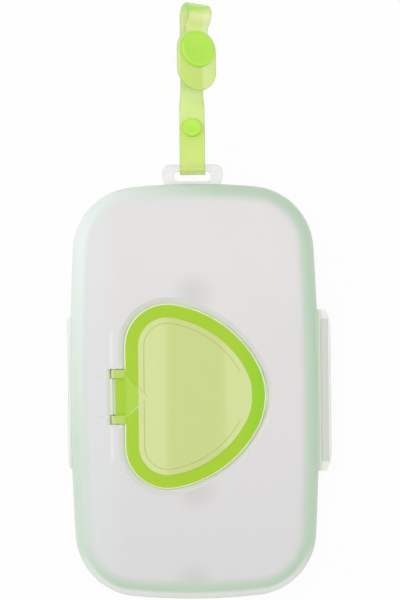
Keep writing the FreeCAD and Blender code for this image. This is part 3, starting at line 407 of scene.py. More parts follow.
def face_colour(tree, axes, milk, above, colours):
    """The milky face with pale streaks over the bosses of the lid's pins, a cooler cast towards the case's
    hinge, and faint painted shadows in line with the strap, where inner parts and the lid's lower edge would
    shade it."""
    near_hinge = band(tree, axes["X"], LID_HINGE.x - 1.9 * MM, LID_HINGE.x - 0.5 * MM, 0.5 * MM)
    along_boss = band(tree, beside_hinge(tree, axes), 14 * MM, 31 * MM, 1.5 * MM)
    over_bosses = add_node(tree, MATH, {0: near_hinge, 1: along_boss}, operation="MULTIPLY")
    streak = add_node(tree, MATH, {0: over_bosses, 1: STREAK_SHARE}, operation="MULTIPLY")
    streaked = add_node(tree, MIX, {"Factor": streak, "A": milk, "B": (1, 1, 1, 1)}, data_type="RGBA")
    hinge_side = add_node(tree, RAMP, {
        "Value": axes["X"], "From Min": -0.55 * CASE_HALF_WIDTH, "From Max": -0.8 * CASE_HALF_WIDTH,
    })
    face = add_node(tree, MIX, {
        "Factor": hinge_side, "A": streaked, "B": HINGE_SIDE_CAST,
    }, data_type="RGBA", blend_type="MULTIPLY")
    faint = add_node(tree, MATH, {0: above, 1: SHADOW_SHARE}, operation="MULTIPLY")
    for place in SHADOW_PLACES:
        mark = add_node(tree, MATH, {0: painted_shadow(tree, axes, place), 1: faint}, operation="MULTIPLY")
        face = add_node(tree, MIX, {"Factor": mark, "A": face, "B": opaque(colours.painted_shadow)}, data_type="RGBA")
    return face


def edge_colour(tree, axes, milk, upright, colours):
    """Mint that the wall gathers where it curves over, from a pale corner to a deeper one: a painted
    highlight at the corner by the hinge and the strap's end, and painted shade over the rest, deepest
    towards the latch and the foot. It is half mixed with milk down the upright wall."""
    # Painted light: the share of painted shade grows across towards the latch and down towards the foot.
    across = add_node(tree, MATH, {0: axes["X"], 1: 0.9 / CASE_HALF_WIDTH}, operation="MULTIPLY")
    along = add_node(tree, MATH, {0: axes["Y"], 1: 0.6 / CASE_HIGH.y}, operation="MULTIPLY")
    held = add_node(tree, MATH, {0: along, 1: -0.15}, operation="MAXIMUM")
    lean = add_node(tree, MATH, {0: across, 1: held}, operation="SUBTRACT")
    turn = add_node(tree, MATH, {0: lean, 1: 1.4}, operation="ADD")
    mint = add_node(tree, MIX, {
        "Factor": turn, "A": opaque(colours.highlit_edge), "B": opaque(colours.shaded_edge),
    }, data_type="RGBA")
    half = add_node(tree, MATH, {0: upright, 1: 0.5}, operation="MULTIPLY")
    return add_node(tree, MIX, {"Factor": half, "A": mint, "B": milk}, data_type="RGBA")


def edge_share(tree, axes, depth, at_foot):
    """How much of the mint shows at a depth inward of the outline: further in at the foot, and sooner full
    towards the latch."""
    foot_shift = add_node(tree, MATH, {0: at_foot, 1: FOOT_TINT_SHIFT}, operation="MULTIPLY")
    shifted = add_node(tree, MATH, {0: depth, 1: foot_shift}, operation="SUBTRACT")
    latch_side = add_node(tree, RAMP, {
        "Value": axes["X"], "From Min": 0.5 * CASE_HALF_WIDTH, "From Max": 0.85 * CASE_HALF_WIDTH,
    })
    start_shift = add_node(tree, MATH, {0: latch_side, 1: LATCH_START_SHIFT}, operation="MULTIPLY")
    start = add_node(tree, MATH, {0: TINT_START, 1: start_shift}, operation="SUBTRACT")
    full_shift = add_node(tree, MATH, {0: latch_side, 1: LATCH_FULL_SHIFT}, operation="MULTIPLY")
    full = add_node(tree, MATH, {0: TINT_FULL, 1: full_shift}, operation="ADD")
    return add_node(tree, RAMP, {
        "Value": shifted, "From Min": start, "From Max": full,
    }, interpolation_type="SMOOTHSTEP")


def seat_colour(tree, axes, colours):
    """Slope of the seat round the lid, near white in its depth and nearly so in the bay of the lid's hinge:
    painted light where these narrow recesses lie in shade.
    """
    over_pins = band(tree, axes["X"], LID_HINGE.x - 5 * MM, SEAL_LOW.x, 0.1 * MM)
    between = add_node(tree, MATH, {0: beside_hinge(tree, axes), 1: BAY_HALF_LENGTH}, operation="LESS_THAN")
    in_bay = add_node(tree, MATH, {0: over_pins, 1: between}, operation="MULTIPLY")
    bay = add_node(tree, MATH, {0: in_bay, 1: BAY_SHARE}, operation="MULTIPLY")
    # Painted light: the seat's depth and the hinge's bay turn near white, against the shade in them.
    deep = add_node(tree, RAMP, {
        "Value": axes["Z"], "From Min": LID_TOP - 1.1 * MM, "From Max": LID_TOP - 1.6 * MM,
    })
    seat_light = add_node(tree, MATH, {0: deep, 1: bay}, operation="MAXIMUM")
    return add_node(tree, MIX, {
        "Factor": seat_light, "A": opaque(colours.seat), "B": opaque(colours.clear),
    }, data_type="RGBA")


def frosted_polypropylene(colours, sizes):
    """Injection-moulded polypropylene from a spark-eroded mould: matte and milky, with no sharp highlight.
    Where the wall curves over on edge, it gathers the mint of the seal inside it, with a painted highlight
    at one corner and painted shade over the rest, and its foot ends in a clear rim lightened by painted
    light. The thin seat round the lid looks paler than the face, with painted light in its depth and in the
    hinge's bay. The face darkens towards the end away from the strap as painted shade, and carries painted
    shadows in line with the strap."""
    material, tree, shader = new_material("frosted_polypropylene", {
        "Roughness": 0.4, "IOR": 1.49, "Subsurface Weight": 0.2, "Subsurface Scale": 3 * MM,
        "Subsurface Radius": (1.0, 1.0, 0.9),
    })
    axes = object_axes(tree)
    depth = edge_depth(tree, axes)
    upright = add_node(tree, RAMP, {
        "Value": axes["Z"], "From Min": CASE_HIGH.z - 5 * MM, "From Max": CASE_HIGH.z - 9 * MM,
    })
    above = add_node(tree, MATH, {0: 1.0, 1: upright}, operation="SUBTRACT")
    at_foot = add_node(tree, RAMP, {
        "Value": axes["Y"], "From Min": CASE_LOW.y + 26 * MM, "From Max": CASE_LOW.y + 8 * MM,
    })
    milk = milk_colour(tree, axes, colours)
    edged = add_node(tree, MIX, {
        "Factor": edge_share(tree, axes, depth, at_foot),
        "A": face_colour(tree, axes, milk, above, colours),
        "B": edge_colour(tree, axes, milk, upright, colours),
    }, data_type="RGBA")

    # Painted light: the outermost rim of the foot is mixed to near white, where the wall turns away from the
    # lamps.
    outermost = add_node(tree, RAMP, {"Value": depth, "From Min": 4.6 * MM, "From Max": 2.7 * MM})
    foot_rim = add_node(tree, MATH, {0: at_foot, 1: outermost}, operation="MULTIPLY")
    foot_rim_light = add_node(tree, MATH, {0: foot_rim, 1: above}, operation="MULTIPLY")
    clear = opaque(colours.clear)
    rimmed = add_node(tree, MIX, {"Factor": foot_rim_light, "A": edged, "B": clear}, data_type="RGBA")

    below = add_node(tree, RAMP, {
        "Value": axes["Z"], "From Min": LID_TOP - 0.05 * MM, "From Max": LID_TOP - 0.3 * MM,
    })
    sunk = add_node(tree, MATH, {0: below, 1: above}, operation="MULTIPLY")
    inward = add_node(tree, RAMP, {"Value": depth, "From Min": 9.0 * MM, "From Max": 10.0 * MM})
    in_seat = add_node(tree, MATH, {0: sunk, 1: inward}, operation="MULTIPLY")
    seat = seat_colour(tree, axes, colours)
    seated = add_node(tree, MIX, {"Factor": in_seat, "A": rimmed, "B": seat}, data_type="RGBA")

    strip = add_node(tree, RAMP, {
        "Value": axes["X"], "From Min": -CASE_HALF_WIDTH, "From Max": -CASE_HALF_WIDTH - 0.4 * MM,
    })
    hinged = add_node(tree, MIX, {"Factor": strip, "A": seated, "B": clear}, data_type="RGBA")
    # Beyond the wall by the latch, the seal's lime shows through. It is kept pale as painted light in the
    # shade between the wall and the latch.
    catch = add_node(tree, MATH, {0: axes["X"], 1: CASE_HALF_WIDTH + 0.1 * MM}, operation="GREATER_THAN")
    lime = add_node(tree, MATH, {0: catch, 1: CATCH_SHARE}, operation="MULTIPLY")
    colour = add_node(tree, MIX, {
        "Factor": lime, "A": hinged, "B": opaque(colours.lid_rim_highlight),
    }, data_type="RGBA")
    tree.links.new(colour.outputs["Result"], shader.inputs["Base Color"])
    add_grain(tree, shader, sizes.grain, 0.01 * MM)
    return material


def latch_polypropylene(colours, sizes):
    """The case's polypropylene, moulded thin and smoother: paler, with a faint sheen."""
    material, tree, shader = new_material("latch_polypropylene", {
        "Roughness": 0.35, "IOR": 1.49, "Alpha": 0.85,
        "Subsurface Weight": 0.2, "Subsurface Scale": 2 * MM,
    })
    axes = object_axes(tree)
    # The inner block of the latch takes the darker colour: the catch showing through, and painted shade of
    # its recess.
    over_catch = add_node(tree, RAMP, {
        "Value": axes["X"], "From Min": LATCH_HIGH.x - 1.1 * MM, "From Max": LATCH_HIGH.x - 1.4 * MM,
    })
    along = add_node(tree, MATH, {0: axes["Y"]}, operation="ABSOLUTE")
    between = add_node(tree, RAMP, {
        "Value": along, "From Min": LATCH_HIGH.y - 4.4 * MM, "From Max": LATCH_HIGH.y - 4.8 * MM,
    })
    lip = add_node(tree, MATH, {0: over_catch, 1: between}, operation="MULTIPLY")
    cloudy = mottled(tree, colours.latch, 12 * MM, 0.03)
    colour = add_node(tree, MIX, {
        "Factor": lip, "A": cloudy, "B": opaque(colours.latch_lip_shaded),
    }, data_type="RGBA")
    tree.links.new(colour.outputs["Result"], shader.inputs["Base Color"])
    add_grain(tree, shader, sizes.grain, 0.006 * MM)
    return material


def clear_polypropylene(colours, sizes):
    """Thin polypropylene without colour: water-clear but hazy, so what lies behind shows pale grey."""
    material, tree, shader = new_material("clear_polypropylene", {
        "Roughness": 0.4, "IOR": 1.49, "Alpha": 0.3,
    })
    hazy = mottled(tree, colours.tab, 8 * MM, 0.05)
    tree.links.new(hazy.outputs["Result"], shader.inputs["Base Color"])
    add_grain(tree, shader, sizes.grain, 0.006 * MM)
    return material


def ring_colour(tree, axes, colours):
    """Lime of the seal behind the lid's skin, deeper and greener towards the tip as painted shade of its
    thumb lip, and paler on the hinge's knuckles.
    """
    tip = add_node(tree, RAMP, {
        "Value": axes["X"], "From Min": LID_HIGH.x - 14 * MM, "From Max": LID_HIGH.x - 2 * MM,
    })
    lime = add_node(tree, MIX, {
        "Factor": tip, "A": opaque(colours.lid_ring), "B": opaque(colours.lid_tip_shade),
    }, data_type="RGBA")
    outside = add_node(tree, MATH, {0: axes["X"], 1: SEAL_LOW.x - LID_RIM}, operation="LESS_THAN")
    beyond = add_node(tree, MATH, {0: beside_hinge(tree, axes), 1: KNUCKLE_INNER}, operation="GREATER_THAN")
    knuckle = add_node(tree, MATH, {0: outside, 1: beyond}, operation="MULTIPLY")
    paler = add_node(tree, MATH, {0: knuckle, 1: KNUCKLE_SHARE}, operation="MULTIPLY")
    return add_node(tree, MIX, {"Factor": paler, "A": lime, "B": opaque(colours.lid)}, data_type="RGBA")


def lid_copolymer(colours):
    """Polished polypropylene copolymer with a little lime pigment: glossy, and translucent enough
    to look lit from within. The hinge's middle tab is thick, so it looks deeper."""
    material, tree, shader = new_material("lid_copolymer", {
        "Roughness": 0.05, "IOR": 1.5, "Specular IOR Level": 0.3,
        "Subsurface Weight": 0.2, "Subsurface Scale": 2 * MM,
    })
    axes = object_axes(tree)
    on_lid = add_node(tree, MATH, {0: axes["X"], 1: SEAL_LOW.x}, operation="GREATER_THAN")
    wider = add_node(tree, MATH, {0: on_lid, 1: TAB_FLARE}, operation="MULTIPLY")
    reach = add_node(tree, MATH, {0: KNUCKLE_INNER, 1: wider}, operation="ADD")
    near_hinge = add_node(tree, MATH, {0: beside_hinge(tree, axes), 1: reach}, operation="LESS_THAN")
    over_ring = add_node(tree, MATH, {0: axes["X"], 1: SEAL_LOW.x + RING_WIDTH}, operation="LESS_THAN")
    deep = add_node(tree, MATH, {0: near_hinge, 1: over_ring}, operation="MULTIPLY")
    lime = ring_colour(tree, axes, colours)
    colour = add_node(tree, MIX, {"Factor": deep, "A": opaque(colours.lid), "B": lime}, data_type="RGBA")
    tree.links.new(colour.outputs["Result"], shader.inputs["Base Color"])
    return material


def lid_ring_copolymer(colours):
    """The lid where the soft seal is moulded to it: the seal's saturated lime shows through the polished
    skin, greener towards the tip, where the deeper green is painted shade."""
    material, tree, shader = new_material("lid_ring_copolymer", {
        "Roughness": 0.2, "IOR": 1.5, "Specular IOR Level": 0.3,
        "Subsurface Weight": 0.2, "Subsurface Scale": 2 * MM,
    })
    lime = ring_colour(tree, object_axes(tree), colours)
    tree.links.new(lime.outputs["Result"], shader.inputs["Base Color"])
    return material


def lid_rim_highlight_copolymer(colours):
    """The lid's rounded rim, outside the seal: clear plastic on edge, shown as a pale line that is also a
    painted highlight of the rounded edge.
    """
    return clouded_material("lid_rim_highlight_copolymer", colours.lid_rim_highlight, 10 * MM, 0.04, {
        "Roughness": 0.15, "IOR": 1.5, "Subsurface Weight": 0.5, "Subsurface Scale": 2 * MM,
    })


def lid_sink_copolymer(colours):
    """The fine line in the panel over the plug rib, where the skin has sunk: a thread deeper in colour."""
    return clouded_material("lid_sink_copolymer", colours.lid_sink, 10 * MM, 0.05, {
        "Roughness": 0.2, "IOR": 1.5, "Subsurface Weight": 0.2, "Subsurface Scale": 2 * MM,
    })


def seal_elastomer(colours):
    """Thermoplastic elastomer, moulded soft: saturated lime with a dull satin skin."""
    return clouded_material("seal_elastomer", colours.seal, 6 * MM, 0.06, {
        "Roughness": 0.45, "IOR": 1.5, "Subsurface Weight": 0.2, "Subsurface Scale": 1.5 * MM,
    })


def strap_polyurethane(colours):
    """Moulded thermoplastic polyurethane: soft, translucent lime. One layer lets the light behind it
    through, and two layers look deeper. It pales towards the bar, and more towards the far fold as painted
    light where the rolled strap turns from the lamps. The far fold's crest is greener."""
    material, tree, shader = new_material("strap_polyurethane", {
        "Roughness": 0.35, "IOR": 1.5, "Alpha": 0.6, "Subsurface Weight": 0.2, "Subsurface Scale": 3 * MM,
    })
    axes = object_axes(tree)
    pale_start = strap_place(0, STRAP_LENGTH / 2, MAIN_V, ROLL).y
    pale_end = strap_place(0, STRAP_LENGTH, MAIN_V, ROLL).y
    snapped = strap_place(0, SMALL_HIGH.y, MAIN_V, 0).y
    near_bar = add_node(tree, RAMP, {"Value": axes["Y"], "From Min": snapped, "From Max": BAR.y})
    near = add_node(tree, MATH, {0: near_bar, 1: NEAR_BAR_SHARE}, operation="MULTIPLY")
    far = add_node(tree, RAMP, {"Value": axes["Y"], "From Min": pale_start, "From Max": pale_end})
    pale_light = add_node(tree, MATH, {0: far, 1: near}, operation="MAXIMUM")
    lime = add_node(tree, MIX, {
        "Factor": pale_light, "A": mottled(tree, colours.strap, 9 * MM, 0.05), "B": opaque(colours.strap_pale_lit),
    }, data_type="RGBA")
    crest_start = pale_end + 0.2 * FOLD_RADIUS
    crest_full = pale_end + 0.8 * FOLD_RADIUS
    crest = add_node(tree, RAMP, {"Value": axes["Y"], "From Min": crest_start, "From Max": crest_full})
    colour = add_node(tree, MIX, {
        "Factor": crest, "A": lime, "B": opaque(colours.strap_fold),
    }, data_type="RGBA")
    tree.links.new(colour.outputs["Result"], shader.inputs["Base Color"])
    return material


def strap_edge_polyurethane(colours):
    """The strap's rounded edges, seen along more of the same plastic: a thin line, duller and deeper."""
    return clouded_material("strap_edge_polyurethane", colours.strap_edge, 9 * MM, 0.05, {
        "Roughness": 0.35, "IOR": 1.5, "Alpha": 0.7, "Subsurface Weight": 0.2, "Subsurface Scale": 3 * MM,
    })


def snap_copolymer(colours):
    """Acetal copolymer of the press snaps: dense saturated lime with a satin gloss."""
    return clouded_material("snap_copolymer", colours.snap, 5 * MM, 0.04, {
        "Roughness": 0.35, "IOR": 1.48, "Alpha": 0.85,
        "Subsurface Weight": 0.05, "Subsurface Scale": 3 * MM,
    })


def set_material(node, material):
    """Give a node of the frame one material."""
    slots = frame["nodes"][node].data.materials
    slots.clear()
    slots.append(material)


def new_piece(name, mesh, materials):
    """Link a finished mesh as a piece that sits at the origin."""
    mesh.name = name
    mesh.materials.clear()
    for material in materials:
        mesh.materials.append(material)
    piece = bpy.data.objects.new(name, mesh)
    bpy.context.scene.collection.objects.link(piece)
    return piece


def shade(mesh, sharp_degrees):
    """Smooth shading, with edges kept sharp above an angle."""
    mesh.shade_smooth()
    mesh.set_sharp_from_angle(angle=math.radians(sharp_degrees))


def merged_copy(node):
    """Copy of a node's mesh with its loose triangles joined and its flat faces made whole."""
    shape = bmesh.new()
    shape.from_mesh(frame["nodes"][node].data)
    bmesh.ops.remove_doubles(shape, verts=shape.verts, dist=MERGE_DISTANCE)
    bmesh.ops.dissolve_limit(shape, angle_limit=FLAT_ANGLE, verts=shape.verts, edges=shape.edges)
    return shape


def cut_across(shape, place, along):
    """Divide a shape's faces along a plane through a place."""
    everything = shape.verts[:] + shape.edges[:] + shape.faces[:]
    bmesh.ops.bisect_plane(shape, geom=everything, plane_co=place, plane_no=along, dist=CUT_DISTANCE)


def finished_mesh(shape, name):
    """Mesh with the faces of a shape, which is then let go."""
    mesh = bpy.data.meshes.new(name)
    shape.to_mesh(mesh)
    shape.free()
    return mesh


def rounded_copy(node, name, radius, materials):
    """Piece with a node's shape and softened edges."""
    shape = merged_copy(node)
    sharp = [e for e in shape.edges if e.is_manifold and e.calc_face_angle() > SEAL_ANGLE]
    bmesh.ops.bevel(
        shape, geom=sharp, offset=radius, segments=2, profile=0.5, affect="EDGES", clamp_overlap=True
    )
    mesh = finished_mesh(shape, name)
    shade(mesh, CRISP_DEGREES)
    return new_piece(name, mesh, materials)


def band_tree():
    """Geometry nodes that sweep a band of rounded section along a path whose points carry the
    direction that the band faces."""
    tree = bpy.data.node_groups.new("StrapBand", "GeometryNodeTree")
    tree.is_modifier = True
    tree.interface.new_socket("Path", in_out="INPUT", socket_type="NodeSocketGeometry")
    for name in ("Width", "Thickness", "Edge Radius"):
        tree.interface.new_socket(name, in_out="INPUT", socket_type="NodeSocketFloat")
    tree.interface.new_socket("Material", in_out="INPUT", socket_type="NodeSocketMaterial")
    tree.interface.new_socket("Band", in_out="OUTPUT", socket_type="NodeSocketGeometry")
    given = add_node(tree, "NodeGroupInput").outputs
    facing = add_node(tree, "GeometryNodeInputNamedAttribute", {"Name": "facing"}, data_type="FLOAT_VECTOR")
    path = add_node(tree, "GeometryNodeMeshToCurve", {"Mesh": given["Path"]})
    turned = add_node(tree, "GeometryNodeSetCurveNormal", {"Curve": path, "Normal": facing}, mode="FREE")
    section = add_node(tree, "GeometryNodeCurvePrimitiveQuadrilateral", {
        "Width": given["Thickness"], "Height": given["Width"],
    }, mode="RECTANGLE")
    rounded = add_node(tree, "GeometryNodeFilletCurve", {
        "Curve": section, "Radius": given["Edge Radius"], "Count": 4,
    }, mode="POLY")
    swept = add_node(tree, "GeometryNodeCurveToMesh", {
        "Curve": turned, "Profile Curve": rounded, "Fill Caps": True,
    })
    whole = add_node(tree, "GeometryNodeRealizeInstances", {"Geometry": swept})
    coloured = add_node(tree, "GeometryNodeSetMaterial", {"Geometry": whole, "Material": given["Material"]})
    add_node(tree, "NodeGroupOutput", {"Band": coloured})
    return tree


def swept_band(name, places, materials, edge_radius):
    """Piece of the strap swept through places w, u, v, roll and the tilt of its face. Its rounded edges
    take the second material."""
    path = bpy.data.meshes.new(name + "_path")
    points = [strap_place(w, u, v, roll) for w, u, v, roll, tilt in places]
    path.from_pydata(points, [(i, i + 1) for i in range(len(points) - 1)], [])
    facing = path.attributes.new("facing", "FLOAT_VECTOR", "POINT")
    for entry, (w, u, v, roll, tilt) in zip(facing.data, places):
        ahead = strap_place(w, u + math.sin(tilt), v + math.cos(tilt), roll)
        entry.vector = ahead - strap_place(w, u, v, roll)
    carrier = bpy.data.objects.new(name + "_path", path)
    bpy.context.scene.collection.objects.link(carrier)
    tree = bpy.data.node_groups.get("StrapBand") or band_tree()
    modifier = carrier.modifiers.new("band", "NODES")
    modifier.node_group = tree
    values = {
        "Width": STRAP_WIDTH,
        "Thickness": STRAP_THICKNESS,
        "Edge Radius": edge_radius,
        "Material": materials[0],
    }
    for item in tree.interface.items_tree:
        if item.in_out == "INPUT" and item.name in values:
            modifier[item.identifier] = values[item.name]
    evaluated = carrier.evaluated_get(bpy.context.evaluated_depsgraph_get())
    mesh = bpy.data.meshes.new_from_object(evaluated)
    facings = [entry.vector.normalized() for entry in facing.data]
    around = len(mesh.vertices) // len(places)
    piece = new_piece(name, mesh, materials)
    for face in mesh.polygons:
        layer = facings[min(face.vertices) // around]
        on_edge = len(face.vertices) == 4 and abs(face.normal.dot(layer)) < EDGE_LEAN
        face.material_index = int(on_edge)
    bpy.data.objects.remove(carrier)
    shade(mesh, SOFT_DEGREES)
    return piece


def arc_points(centre_w, centre_u, radius, start_degrees, end_degrees, steps):
    """Points w, u on an arc, from one angle to another."""
    points = []
    for step in range(steps + 1):
        angle = math.radians(start_degrees + (end_degrees - start_degrees) * step / steps)
        points.append((centre_w + radius * math.cos(angle), centre_u + radius * math.sin(angle)))
    return points


def cut_band(name, outline, cuts, joined_u, place, materials, edge_radius):
    """Piece of the strap cut from a flat outline w, u, rounded along its edges, and bent by a function
    from w, u and the height over its middle to a point. The edge at joined_u stays square, and the
    rounded edges take the second material."""
    shape = bmesh.new()
    shape.faces.new([shape.verts.new((w, u, -STRAP_THICKNESS / 2)) for w, u in outline])
    for cut in cuts:
        cut_across(shape, (0, cut, 0), (0, 1, 0))
    lower = shape.faces[:]
    raised = bmesh.ops.extrude_face_region(shape, geom=lower, use_keep_orig=True)["geom"]
    for vertex in (item for item in raised if isinstance(item, bmesh.types.BMVert)):
        vertex.co.z += STRAP_THICKNESS
    bmesh.ops.recalc_face_normals(shape, faces=shape.faces)
    rim = []
    for edge in shape.edges:
        square = all(abs(vertex.co.y - joined_u) < TOUCHING for vertex in edge.verts)
        if not square and edge.is_manifold and edge.calc_face_angle() > STRAP_ANGLE:
            rim.append(edge)
    bmesh.ops.bevel(shape, geom=rim, offset=edge_radius, segments=3, profile=0.5, affect="EDGES")
    for face in shape.faces:
        square = all(abs(vertex.co.y - joined_u) < TOUCHING for vertex in face.verts)
        face.material_index = int(not square and abs(face.normal.z) < EDGE_LEAN)
    for vertex in shape.verts:
        vertex.co = place(*vertex.co)
    bmesh.ops.recalc_face_normals(shape, faces=shape.faces)
    mesh = finished_mesh(shape, name)
    indices = [face.material_index for face in mesh.polygons]
    piece = new_piece(name, mesh, materials)
    mesh.polygons.foreach_set("material_index", indices)
    shade(mesh, SOFT_DEGREES)
    return piece


class DISPENSER_OT_shells(bpy.types.Operator):
    """Finish the two frosted shells of the case"""

    bl_idname = "dispenser.shells"
    bl_label = "Case Shells"

    def execute(self, context):
        material = frosted_polypropylene(context.scene.dispenser_colours, context.scene.dispenser_sizes)
        for node in ("rear_shell", "front_shell"):
            set_material(node, material)
        return {"FINISHED"}


class DISPENSER_OT_seals(bpy.types.Operator):
    """Make the soft seals of the case's seam and of the lid"""

    bl_idname = "dispenser.seals"
    bl_label = "Soft Seals"

    def execute(self, context):
        material = seal_elastomer(context.scene.dispenser_colours)
        radius = context.scene.dispenser_sizes.seal_edge
        for node, body in (("rim_seal", "front_case"), ("lid_seal", "lid_assembly")):
            piece = rounded_copy(node, "soft_" + node, radius, [material])
            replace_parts(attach(piece, body), node)
        return {"FINISHED"}


def web_piece(name, node, along, steps, material):
    """Copy of a thin web, cut across into narrow strips so that it can bend."""
    shape = merged_copy(node)
    low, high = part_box(node)
    for step in range(1, steps):
        cut_across(shape, low + (high - low) * (step / steps), along)
    mesh = finished_mesh(shape, name)
    shade(mesh, CRISP_DEGREES)
    return new_piece(name, mesh, [material])


class DISPENSER_OT_webs(bpy.types.Operator):
    """Make the thin webs of the two living hinges"""

    bl_idname = "dispenser.webs"
    bl_label = "Living Hinges"

    def execute(self, context):
        material = latch_polypropylene(context.scene.dispenser_colours, context.scene.dispenser_sizes)
        case_web = web_piece("bending_case_web", "case_hinge_web", Vector((0, 0, 1)), 32, material)
        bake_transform(case_web)
        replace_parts(case_web, "case_hinge_web")
        latch_web = web_piece("bending_latch_web", "latch_hinge_web", Vector((1, 0, 0)), 16, material)
        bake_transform(latch_web)
        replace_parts(latch_web, "latch_hinge_web")
        set_material("side_latch", material)
        return {"FINISHED"}


class DISPENSER_OT_tab(bpy.types.Operator):
    """Finish the hanging tab"""

    bl_idname = "dispenser.tab"
    bl_label = "Hanging Tab"

    def execute(self, context):
        material = clear_polypropylene(context.scene.dispenser_colours, context.scene.dispenser_sizes)
        set_material("hang_tab", material)
        return {"FINISHED"}


def lid_zone(corners, normal):
    """Which of the lid's materials a face takes. The panel's crown is an arc across the lid, and the sink
    line lies below it."""
    near = 0.01 * MM
    panel_share = 0.98
    flat_cosine = 0.98
    side_cosine = -0.1
    sunk = []
    for corner in corners:
        out = (corner.x - PANEL_MIDDLE) / PANEL_HALF
        depth = LID_TOP + PANEL_CROWN * (1 - out * out) - corner.z
        sunk.append(abs(out) < panel_share and abs(depth - SINK_DEPTH) < 2 * near)
    if all(sunk):
        return SINK_SLOT
    heights = [corner.z for corner in corners]
    if max(heights) > LID_TOP + near:
        # Raised faces that lean towards the foot take the rim's pale colour: a painted highlight along their
        # lower edges.
        lower_side = normal.z < flat_cosine and normal.y < side_cosine
        return RIM_SLOT if lower_side else PANEL_SLOT
    if min(heights) > LID_TOP - near:
        return RING_SLOT
    left = min(corner.x for corner in corners)
    on_rim = min(heights) > LID_TOP - LID_RIM - near and left > SEAL_LOW.x - LID_RIM - near
    return RIM_SLOT if on_rim else PANEL_SLOT


class DISPENSER_OT_lid(bpy.types.Operator):
    """Finish the dispensing lid: its panel, saturated ring, rim and sink line"""

    bl_idname = "dispenser.lid"
    bl_label = "Dispensing Lid"

    def execute(self, context):
        colours = context.scene.dispenser_colours
        mesh = frame["nodes"]["dispensing_lid"].data
        mesh.materials.clear()
        for make in (lid_copolymer, lid_ring_copolymer, lid_rim_highlight_copolymer, lid_sink_copolymer):
            mesh.materials.append(make(colours))
        for face in mesh.polygons:
            corners = [mesh.vertices[index].co for index in face.vertices]
            face.material_index = lid_zone(corners, face.normal)
        return {"FINISHED"}


class DISPENSER_OT_strap(bpy.types.Operator):
    """Make the soft strap: front layer, loop round the bar, tail, far fold and flap with its pad"""

    bl_idname = "dispenser.strap"
    bl_label = "Strap"

    def execute(self, context):
        colours = context.scene.dispenser_colours
        materials = [strap_polyurethane(colours), strap_edge_polyurethane(colours)]
        edge = context.scene.dispenser_sizes.band_edge
        half = STRAP_WIDTH / 2
        free_start = SMALL_HIGH.y
        free_length = STUD_LOW.y - free_start
        twist_start = free_start + TWIST_START_SHARE * free_length
        twist_end = free_start + TWIST_END_SHARE * free_length
        places = []
        for step in range(BODY_STEPS + 1):
            u = STRAP_LENGTH * step / BODY_STEPS
            progress = min(1, max(0, (u - twist_start) / (twist_end - twist_start)))
            places.append((0, u, MAIN_V, ROLL * (1 - math.cos(math.pi * progress)) / 2, 0))
        body = swept_band("soft_strap_body", places, materials, edge)
        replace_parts(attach(body, "strap_front"), "strap_body")

        places = []
        for step in range(BEND_STEPS + 1):
            angle = math.pi * step / BEND_STEPS
            places.append((0, -MAIN_V * math.sin(angle), MAIN_V * math.cos(angle), 0, -angle))
        loop = swept_band("soft_strap_loop", places, materials, edge)
        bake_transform(loop)
        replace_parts(loop, "strap_bar_loop")

        places = []
        for step in range(BEND_STEPS + 1):
            angle = math.pi * step / BEND_STEPS
            u = STRAP_LENGTH + FOLD_RADIUS * math.sin(angle)
            places.append((0, u, FOLD.z - FOLD_RADIUS * math.cos(angle), ROLL, math.pi - angle))
        fold = swept_band("soft_strap_fold", places, materials, edge)
        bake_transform(fold)
        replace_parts(fold, "strap_top_fold")

        outline = [(-half, 0), (half, 0)] + arc_points(0, TAIL_HIGH.y - half, half, 0, 180, 32)

        def tail_place(w, u, height):
            return strap_place(w, u, -MAIN_V + height, 0)

        tail = cut_band("soft_strap_tail", outline, [], 0, tail_place, materials, edge)
        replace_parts(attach(tail, "strap_end"), "strap_tail")

        slope_start = CAP_HIGH.y + CAP_GAP
        slope = STRAP_LENGTH - slope_start
        rise = FOLD.z + FOLD_RADIUS - PAD_V
        bend = (slope ** 2 + rise ** 2) / (4 * rise)

        def flap_place(w, u, height):
            climb = u - slope_start
            if climb <= 0:
                return strap_place(w, u, PAD_V + height, ROLL)
            if climb < slope / 2:
                lean = math.asin(climb / bend)
                v = PAD_V + bend * (1 - math.cos(lean))
            else:
                lean = math.asin((slope - climb) / bend)
                v = PAD_V + rise - bend * (1 - math.cos(lean))
            return strap_place(w, u - height * math.sin(lean), v + height * math.cos(lean), ROLL)

        lean_in = math.degrees(math.acos(half / PAD_RADIUS))
        outline = [(-half, STRAP_LENGTH)]
        outline += arc_points(0, SNAP_PLACE, PAD_RADIUS, 180 - lean_in, 180, 12)
        outline += arc_points(0, FLAP_LOW.y + PAD_RADIUS, PAD_RADIUS, 180, 360, 48)
        outline += arc_points(0, SNAP_PLACE, PAD_RADIUS, 0, lean_in, 12)
        outline += [(half, STRAP_LENGTH)]
        cuts = [slope_start + slope * step / SLOPE_STEPS for step in range(SLOPE_STEPS)]
        flap = cut_band("soft_strap_flap", outline, cuts, STRAP_LENGTH, flap_place, materials, edge)
        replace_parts(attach(flap, "strap_pad"), "strap_flap")
        return {"FINISHED"}


class DISPENSER_OT_snaps(bpy.types.Operator):
    """Finish the press snaps of the strap"""

    bl_idname = "dispenser.snaps"
    bl_label = "Press Snaps"

    def execute(self, context):
        material = snap_copolymer(context.scene.dispenser_colours)
        for size in ("large", "small"):
            for piece in ("cap", "socket", "stud", "back_cap"):
                set_material(size + "_snap_" + piece, material)
        return {"FINISHED"}


